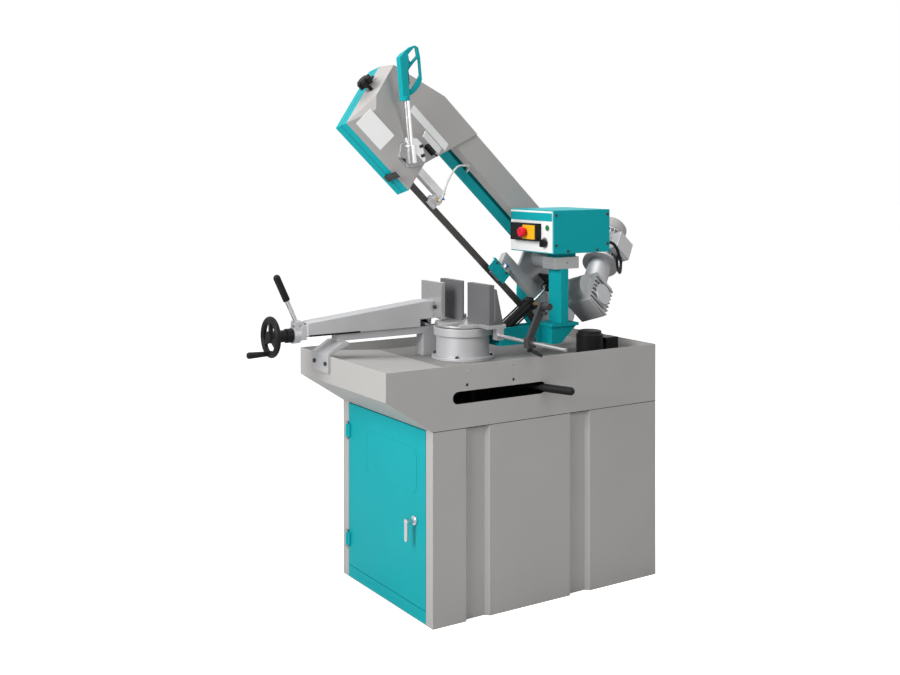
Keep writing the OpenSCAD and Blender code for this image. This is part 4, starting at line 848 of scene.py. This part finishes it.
@dataclass
class Tray:
    """Coolant tray with the pump, the mitre lever and the screws of the stand."""

    floor_z: float = 862.0
    floor_band: float = 0.004

    def in_basin(self, centre: Vector, normal: Vector) -> bool:
        """True for the tray's floor, which is given a darker grey than the rest of the tray."""
        return normal.z > 0.9 and abs(centre.z - self.floor_z * MM) < self.floor_band

    def build(self) -> None:
        """Dresses the tray and what stands in it."""
        tray = dress("tray", GREY, 0.0005)
        repaint(tray, DARKER_TRAY_FLOOR, self.in_basin)
        dress("mitre_lever", BLACK, 0.0006)
        dress("coolant_pump", BLACK, 0.003, 3)
        dress("stand_screws", DARK, 0.0008)


@dataclass
class Turret:
    """Turret, round table and fixed jaws."""

    def build(self) -> None:
        """Dresses the turret and the jaws."""
        dress("turret", ALU, 0.0015)
        dress("table_plate", STEEL, 0.0012)
        dress("fixed_jaws", IRON, 0.0012)


@dataclass
class Vice:
    """Vice with its casting, spindle, handwheel and quick lever."""

    lever_foot: Point = (-800.0, 138.0, 1016.0)
    lever_lean: float = -25.0
    grip_from: float = 99.0
    hub_end: float = -0.740
    casting_round: float = 0.003

    def lever(self) -> None:
        """Quick lever with a black grip on its upper half."""
        made = dress("vice_lever", ZINC, 0.001)
        foot = Vector(self.lever_foot) * MM
        line = Matrix.Rotation(math.radians(self.lever_lean), 3, "Y") @ Vector((0, 0, 1))
        repaint(made, BLACK, lambda centre, normal: (centre - foot).dot(line) > self.grip_from * MM)

    def casting(self) -> None:
        """Vice casting, rounded on its arm and left sharp round the hub at its end."""
        made = merge_copy("vice_casting", "vice_casting_dressed")
        choose(made, lambda centre, normal: centre.x < self.hub_end)
        bpy.ops.mesh.hide(unselected=False)
        bpy.ops.mesh.select_mode(type="EDGE")
        bpy.ops.mesh.edges_select_sharp(sharpness=math.radians(SHARP))
        bpy.ops.mesh.bevel(offset=self.casting_round, segments=3, clamp_overlap=False)
        bpy.ops.mesh.reveal(select=False)
        leave_edit()
        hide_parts("vice_casting")
        hand_over(made, BODY_OF["vice_casting"], ALU)

    def gib(self) -> None:
        """Dark wear strip under the casting beside the rail."""
        strip = block("gib_strip", (-0.770, 0.099, 0.9735), (-0.560, 0.107, 0.980), 0.0008)
        hand_over(strip, "vice", BLACK)

    def build(self) -> None:
        """Dresses the vice and adds its small pieces."""
        dress("vice_rail", ALU, 0.002)
        self.casting()
        dress("jaw_plate", STEEL, 0.001)
        dress("vice_spindle", BLACK, 0.001)
        dress("handwheel", BLACK, 0.0012)
        dress("crank_grip", BLACK, 0.0012)
        self.lever()
        self.gib()
        bolts = [((-0.238, y, 1.050), (-1, 0, 0)) for y in (0.088, 0.156)]
        hand_over(socket_screws("jaw_bolts", bolts, 0.008, 0.008), "vice", DARK)


@dataclass
class BarStop:
    """Bar stop on its rod."""

    def build(self) -> None:
        """Dresses the stop."""
        dress("stop_rod", ZINC, 0.001)
        dress("stop_arm", DARK, 0.0006)
        dress("stop_lever", BLACK, 0.0004)


@dataclass
class Arm:
    """Swivel arm with the column, the control box and its switches."""

    box_low: Point = (72.0, -254.0, 1262.0)
    box_high: Point = (346.0, 22.0, 1427.0)
    stop_at: Point = (41.0, -118.0, 1341.5)
    dial_at: tuple[float, float] = (-0.204, 1.302)
    button_at: tuple[float, float] = (-0.222, 1.360)
    proud: float = 0.0006
    sunk: float = 0.0005
    gland_at: Point = (0.346, -0.214, 1.296)
    pivot: tuple[float, float] = (-170.0, 0.0)
    ring_r: float = 112.6
    ring_z: tuple[float, float] = (951.0, 983.0)

    def on_ring(self, centre: Vector, normal: Vector) -> bool:
        """True for the faces of the bare ring under the table."""
        flat = Vector((centre.x - self.pivot[0] * MM, centre.y - self.pivot[1] * MM))
        return flat.length < self.ring_r * MM and self.ring_z[0] * MM < centre.z < self.ring_z[1] * MM

    def panel(self) -> None:
        """Bare teal strip, yellow plate and the marks of the front panel."""
        face = (self.box_low[0] - 3) * MM
        top = self.box_high[2] * MM
        strip = block("panel_strip", (face - self.proud, -0.249, top - 0.042),
                      (face + self.sunk, 0.017, top - 0.011), 0.0003, 1)
        hand_over(strip, "arm", TEAL)
        x, y, z = (value * MM for value in self.stop_at)
        plate = block("switch_plate", (x - 0.0030, y - 0.060, z - 0.027),
                      (x + self.sunk, y + 0.016, z + 0.027), 0.0012)
        bored(plate, (x - 0.01, y, z), (x + 0.01, y, z), 0.0128)
        hand_over(plate, "arm", YELLOW)
        ring = rod("knob_dial", (face - self.proud, *self.dial_at), (face + self.sunk, *self.dial_at), 0.021,
                   48, 0.0002)
        bored(ring, (face - 0.01, *self.dial_at), (face + 0.01, *self.dial_at), 0.0156)
        hand_over(ring, "arm", STEEL)
        bezel = rod("button_bezel", (face - 0.003, *self.button_at), (face + self.sunk, *self.button_at),
                    0.0122, 40, 0.0006)
        bored(bezel, (face - 0.01, *self.button_at), (face + 0.01, *self.button_at), 0.0094)
        hand_over(bezel, "arm", ZINC)

    def box_screws(self) -> None:
        """Screws of the side lid of the control box."""
        y = self.box_low[1] * MM
        spots = [(84, 1408), (334, 1408), (84, 1294), (334, 1294), (140, 1271), (282, 1271)]
        places = [((sx * MM, y, sz * MM), (0, -1, 0)) for sx, sz in spots]
        hand_over(socket_screws("lid_screws", places, 0.0055, 0.0035), "arm", DARK)
        lid = block("box_lid", (self.box_low[0] * MM + 0.001, y - 0.0012, self.box_low[2] * MM + 0.002),
                    (self.box_high[0] * MM - 0.001, y + 0.0005, self.box_high[2] * MM - 0.002), 0.0006)
        hand_over(lid, "arm", TEAL)

    def gland(self) -> None:
        """Dome nut of the cable gland on the control box."""
        x, y, z = self.gland_at
        nut = rod("gland_nut", (x, y, z), (x + 0.009, y, z), 0.0145, 6, 0.0008)
        dome = rod("gland_dome", (x + 0.009, y, z), (x + 0.0125, y, z), 0.0118, 32, 0.0012)
        hand_over(join([nut, dome], "box_gland"), "arm", BLACK)

    def build(self) -> None:
        """Dresses the arm and adds its small pieces."""
        arm = dress("swivel_arm", TEAL, 0.0012)
        repaint(arm, ALU, self.on_ring)
        dress("column", TEAL, 0.002, 3)
        dress("hinge_block", STEEL, 0.0015)
        dress("head_shaft", STEEL, 0.001)
        dress("control_box", TEAL, 0.0012)
        dress("control_panel", WHITE, 0.0006)
        dress("switch_block", BLACK, 0.002, 3)
        dress("stop_button", RED, 0.002, 3)
        dress("start_button", GREEN, 0.001)
        dress("speed_knob", BLACK, 0.001)
        self.panel()
        self.box_screws()
        self.gland()


@dataclass
class FeedCylinder:
    """Feed cylinder between the swivel arm and the head."""

    foot: Point = (-40.0, -62.0, 955.0)
    rise: float = 35.32
    port: float = 0.177

    def fittings(self) -> None:
        """Brass nipples on the side of the upper end block."""
        along = Matrix.Translation(Vector(self.foot) * MM) @ Matrix.Rotation(math.radians(-self.rise), 4, "Y")
        seat, face, mouth = (along @ Vector((self.port, y, 0)) for y in (-0.0225, -0.031, -0.040))
        nut = rod("nipple_nut", seat, face, 0.007, 6, 0.0005)
        tip = rod("nipple_tip", face, mouth, 0.0042, 20, 0.0004)
        hand_over(join([nut, tip], "cylinder_nipple"), "barrel", BRASS)

    def build(self) -> None:
        """Dresses the cylinder."""
        dress("cylinder_barrel", BLACK, 0.001)
        dress("cylinder_rod", ZINC, 0.0002, 2, 60.0)
        dress("rod_clevis", BLACK, 0.001)
        self.fittings()


@dataclass
class Head:
    """Swing head: bow beam, housings, covers, gearbox, motor and pull handle."""

    face_n: float = 82.0
    face_v: float = 45.0
    back_n: float = 18.0
    back_v: float = -48.0
    bracket_n: float = 91.0
    joint_n: tuple[float, float] = (-12.0, -10.2)

    def plates(self) -> None:
        """Bare plates on the housing."""
        n = self.face_n
        spots = (("size_plate", (-857, 176, n - 0.4), (-645, 216, n + 0.6), WHITE),
                 ("small_plate", (-762, 136, n - 0.4), (-664, 170, n + 0.6), STEEL))
        for name, low, high, finish in spots:
            made = block(name, [v * MM for v in low], [v * MM for v in high], 0.0004, 1)
            settle(made, HEAD.wheels())
            hand_over(made, "head", finish)
        slope = math.atan2(self.face_n - self.back_n, self.face_v - self.back_v)
        foot = Matrix.Translation((0, self.back_v * MM, self.back_n * MM))
        side = foot @ Matrix.Rotation(slope, 4, "X")
        made = block("side_plate", (-1.003, 0.024, -0.0004), (-0.864, 0.100, 0.0007), 0.0004, 1)
        settle(made, HEAD.wheels() @ side)
        hand_over(made, "head", WHITE)

    def bracket(self) -> None:
        """Bolts of the pull handle's bracket and the small switch beside it."""
        up = HEAD.wheels().to_3x3() @ Vector((0, 0, 1))
        places = [(HEAD.loop(u, v, self.bracket_n), up) for u, v in ((-728, 58), (-752, 86), (-806, 66))]
        hand_over(socket_screws("handle_bolts", places, 0.0065, 0.006), "head", DARK)
        switch = block("lift_switch", (-0.735, 0.100, 0.082), (-0.690, 0.117, 0.100), 0.0012)
        roller = rod("switch_roller", (-0.690, 0.108, 0.094), (-0.674, 0.108, 0.097), 0.0032, 16, 0.0004)
        made = join([switch, roller], "lift_switch")
        settle(made, HEAD.wheels())
        hand_over(made, "head", BLACK)

    def cover_joint(self) -> None:
        """Dark joint round the middle of the idler cover."""
        made = merge_copy("idler_cover", "idler_cover_dressed")
        round_edges(made, 0.0012)
        frame_in = HEAD.wheels()
        out = frame_in.to_3x3() @ Vector((0, 0, 1))
        for n in self.joint_n:
            pick(made)
            bpy.ops.object.mode_set(mode="EDIT")
            bpy.ops.mesh.select_all(action="SELECT")
            bpy.ops.mesh.bisect(plane_co=frame_in @ Vector((0, 0, n * MM)), plane_no=out)
            leave_edit()
        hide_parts("idler_cover")
        made.data.materials.append(TEAL.material())
        back = frame_in.inverted()

        def in_joint(centre: Vector, normal: Vector) -> bool:
            """True for the faces of the joint."""
            return (self.joint_n[0] - 0.1) * MM < (back @ centre).z < (self.joint_n[1] + 0.1) * MM

        repaint(made, BLACK, in_joint)
        hand_over(made, "head", TEAL)

    def build(self) -> None:
        """Dresses the head and adds its small pieces."""
        dress("bow_beam", GREY, 0.0016, 3)
        dress("wheel_housing", GREY, 0.0)
        self.cover_joint()
        dress("return_guard", TEAL, 0.001)
        dress("drive_housing", ALU, 0.0)
        dress("drive_cover", TEAL, 0.0015)
        dress("gearbox", ALU, 0.0015)
        dress("motor", ALU, 0.0005, 1)
        dress("fan_cover", GREY, 0.002, 3)
        dress("terminal_box", ALU, 0.003, 3)
        dress("handle_post", ZINC, 0.001)
        dress("handle_grip", TEAL, 0.0020, 3)
        dress("trigger", BLACK, 0.0015, 3)
        dress("latch_upper", DARK, 0.001)
        dress("latch_lower", DARK, 0.001)
        dress("tension_slide", DARK, 0.001)
        dress("tension_knob", BLACK, 0.002, 3)
        self.plates()
        self.bracket()


@dataclass
class BladeRun:
    """Blade, its wheels and its guides."""

    first_u: float = -612.0
    last_u: float = -112.0
    pitch: float = 6.25
    edge_z: float = -13.5
    tooth: float = 2.6
    strip_t: float = 0.0009

    def teeth(self) -> None:
        """Teeth along the cutting run between the idler cover and the drive end."""
        clear_selection()
        count = int((self.last_u - self.first_u) / self.pitch)
        length = count * self.pitch
        bpy.ops.mesh.primitive_grid_add(x_subdivisions=2 * count, y_subdivisions=1, size=1.0)
        strip = bpy.context.object
        strip.name = "blade_teeth"
        height = self.tooth + 1.0
        strip.scale = (length * MM, height * MM, 1.0)
        strip.rotation_euler = (math.radians(90), 0, 0)
        strip.location = ((self.first_u + length / 2) * MM, 0, (self.edge_z + 1.0 - height / 2) * MM)
        settle(strip)
        bpy.ops.object.mode_set(mode="EDIT")
        bpy.ops.mesh.select_mode(type="VERT")
        bpy.ops.mesh.select_all(action="DESELECT")
        cage = bmesh.from_edit_mesh(strip.data)
        for vert in cage.verts:
            step = round((vert.co.x - self.first_u * MM) / (self.pitch * MM / 2))
            vert.select_set(vert.co.z < (self.edge_z - 1.0) * MM and step % 2 == 0)
        bmesh.update_edit_mesh(strip.data)
        bpy.ops.transform.translate(value=(0, 0, self.tooth * MM))
        leave_edit()
        walls = strip.modifiers.new("thickness", "SOLIDIFY")
        walls.thickness = self.strip_t
        walls.offset = 0.0
        bpy.ops.object.modifier_apply(modifier=walls.name)
        settle(strip, HEAD.pivot())
        hand_over(strip, "head", STEEL)

    def guard(self) -> None:
        """Teal guard in front of the fixed guide."""
        plate = block("guide_guard", (-0.208, -0.0345, -0.009), (-0.110, -0.0312, 0.042), 0.0008)
        lip = block("guard_lip", (-0.208, -0.0345, 0.0388), (-0.110, -0.016, 0.042), 0.0008)
        made = join([plate, lip], "guide_guard")
        settle(made, HEAD.pivot())
        hand_over(made, "head", TEAL)
        facing = Vector((0, -1, 0))
        places = [(HEAD.cut(x, -34.5, 30), facing) for x in (-190, -130)]
        hand_over(socket_screws("guard_screws", places, 0.0045, 0.004), "head", DARK)

    def tap(self, name: str, x: float, y: float, z: float, body: str) -> None:
        """Coolant tap: a plated body with a blue lever.

        Args:
            name: Name of the tap.
            x: Place along the blade in millimetres.
            y: Place across the blade.
            z: Height of its foot above the blade's middle.
            body: Body that carries it.
        """
        stem = rod("stem", (x * MM, y * MM, z * MM), (x * MM, y * MM, (z + 14) * MM), 0.006, 24, 0.0006)
        nut = rod("nut", (x * MM, y * MM, z * MM), (x * MM, y * MM, (z + 5) * MM), 0.0085, 6, 0.0005)
        body_piece = join([stem, nut], f"{name}_body")
        settle(body_piece, HEAD.pivot())
        hand_over(body_piece, body, ZINC)
        lever = block(f"{name}_lever", ((x - 5) * MM, (y - 4) * MM, (z + 14) * MM),
                      ((x + 15) * MM, (y + 4) * MM, (z + 20) * MM), 0.0012)
        settle(lever, HEAD.pivot())
        hand_over(lever, body, BLUE)

    def ferrule(self) -> None:
        """Hose nozzle on the front of the sliding guide."""
        nut = rod("ferrule_nut", (-0.554, -0.0320, 0.026), (-0.554, -0.0365, 0.026), 0.0085, 6, 0.0005)
        settle(nut, HEAD.pivot())
        hand_over(nut, "guide", BRASS)

    def build(self) -> None:
        """Dresses the blade, the wheels and the guides."""
        dress("blade", BLADE, 0.0)
        dress("idler_wheel", ALU, 0.001)
        dress("drive_wheel", ALU, 0.001)
        dress("worm_shaft", STEEL, 0.0)
        dress("fixed_guide", STEEL, 0.001)
        dress("guide_arm", STEEL, 0.001)
        dress("guide_block", ALU, 0.001)
        self.teeth()
        self.guard()
        self.tap("sliding_tap", -545, -24, 32, "guide")
        self.tap("fixed_tap", -150, -31, 40, "head")
        self.ferrule()


def main() -> None:
    """Builds the picture, the cords and then each sub-assembly of the saw."""
    logging.basicConfig(level=logging.INFO, format="%(message)s")
    bpy.context.scene.view_settings.view_transform = "Standard"
    studio = Studio()
    studio.camera()
    Cords().build()
    studio.sky_light()
    studio.lamps()
    studio.floor()
    for kind in (Cabinet, Tray, Turret, Vice, BarStop, Arm, FeedCylinder, Head, BladeRun):
        assembly = kind()
        LOG.info("%s", type(assembly).__name__)
        assembly.build()


if __name__ == "__main__":
    main()
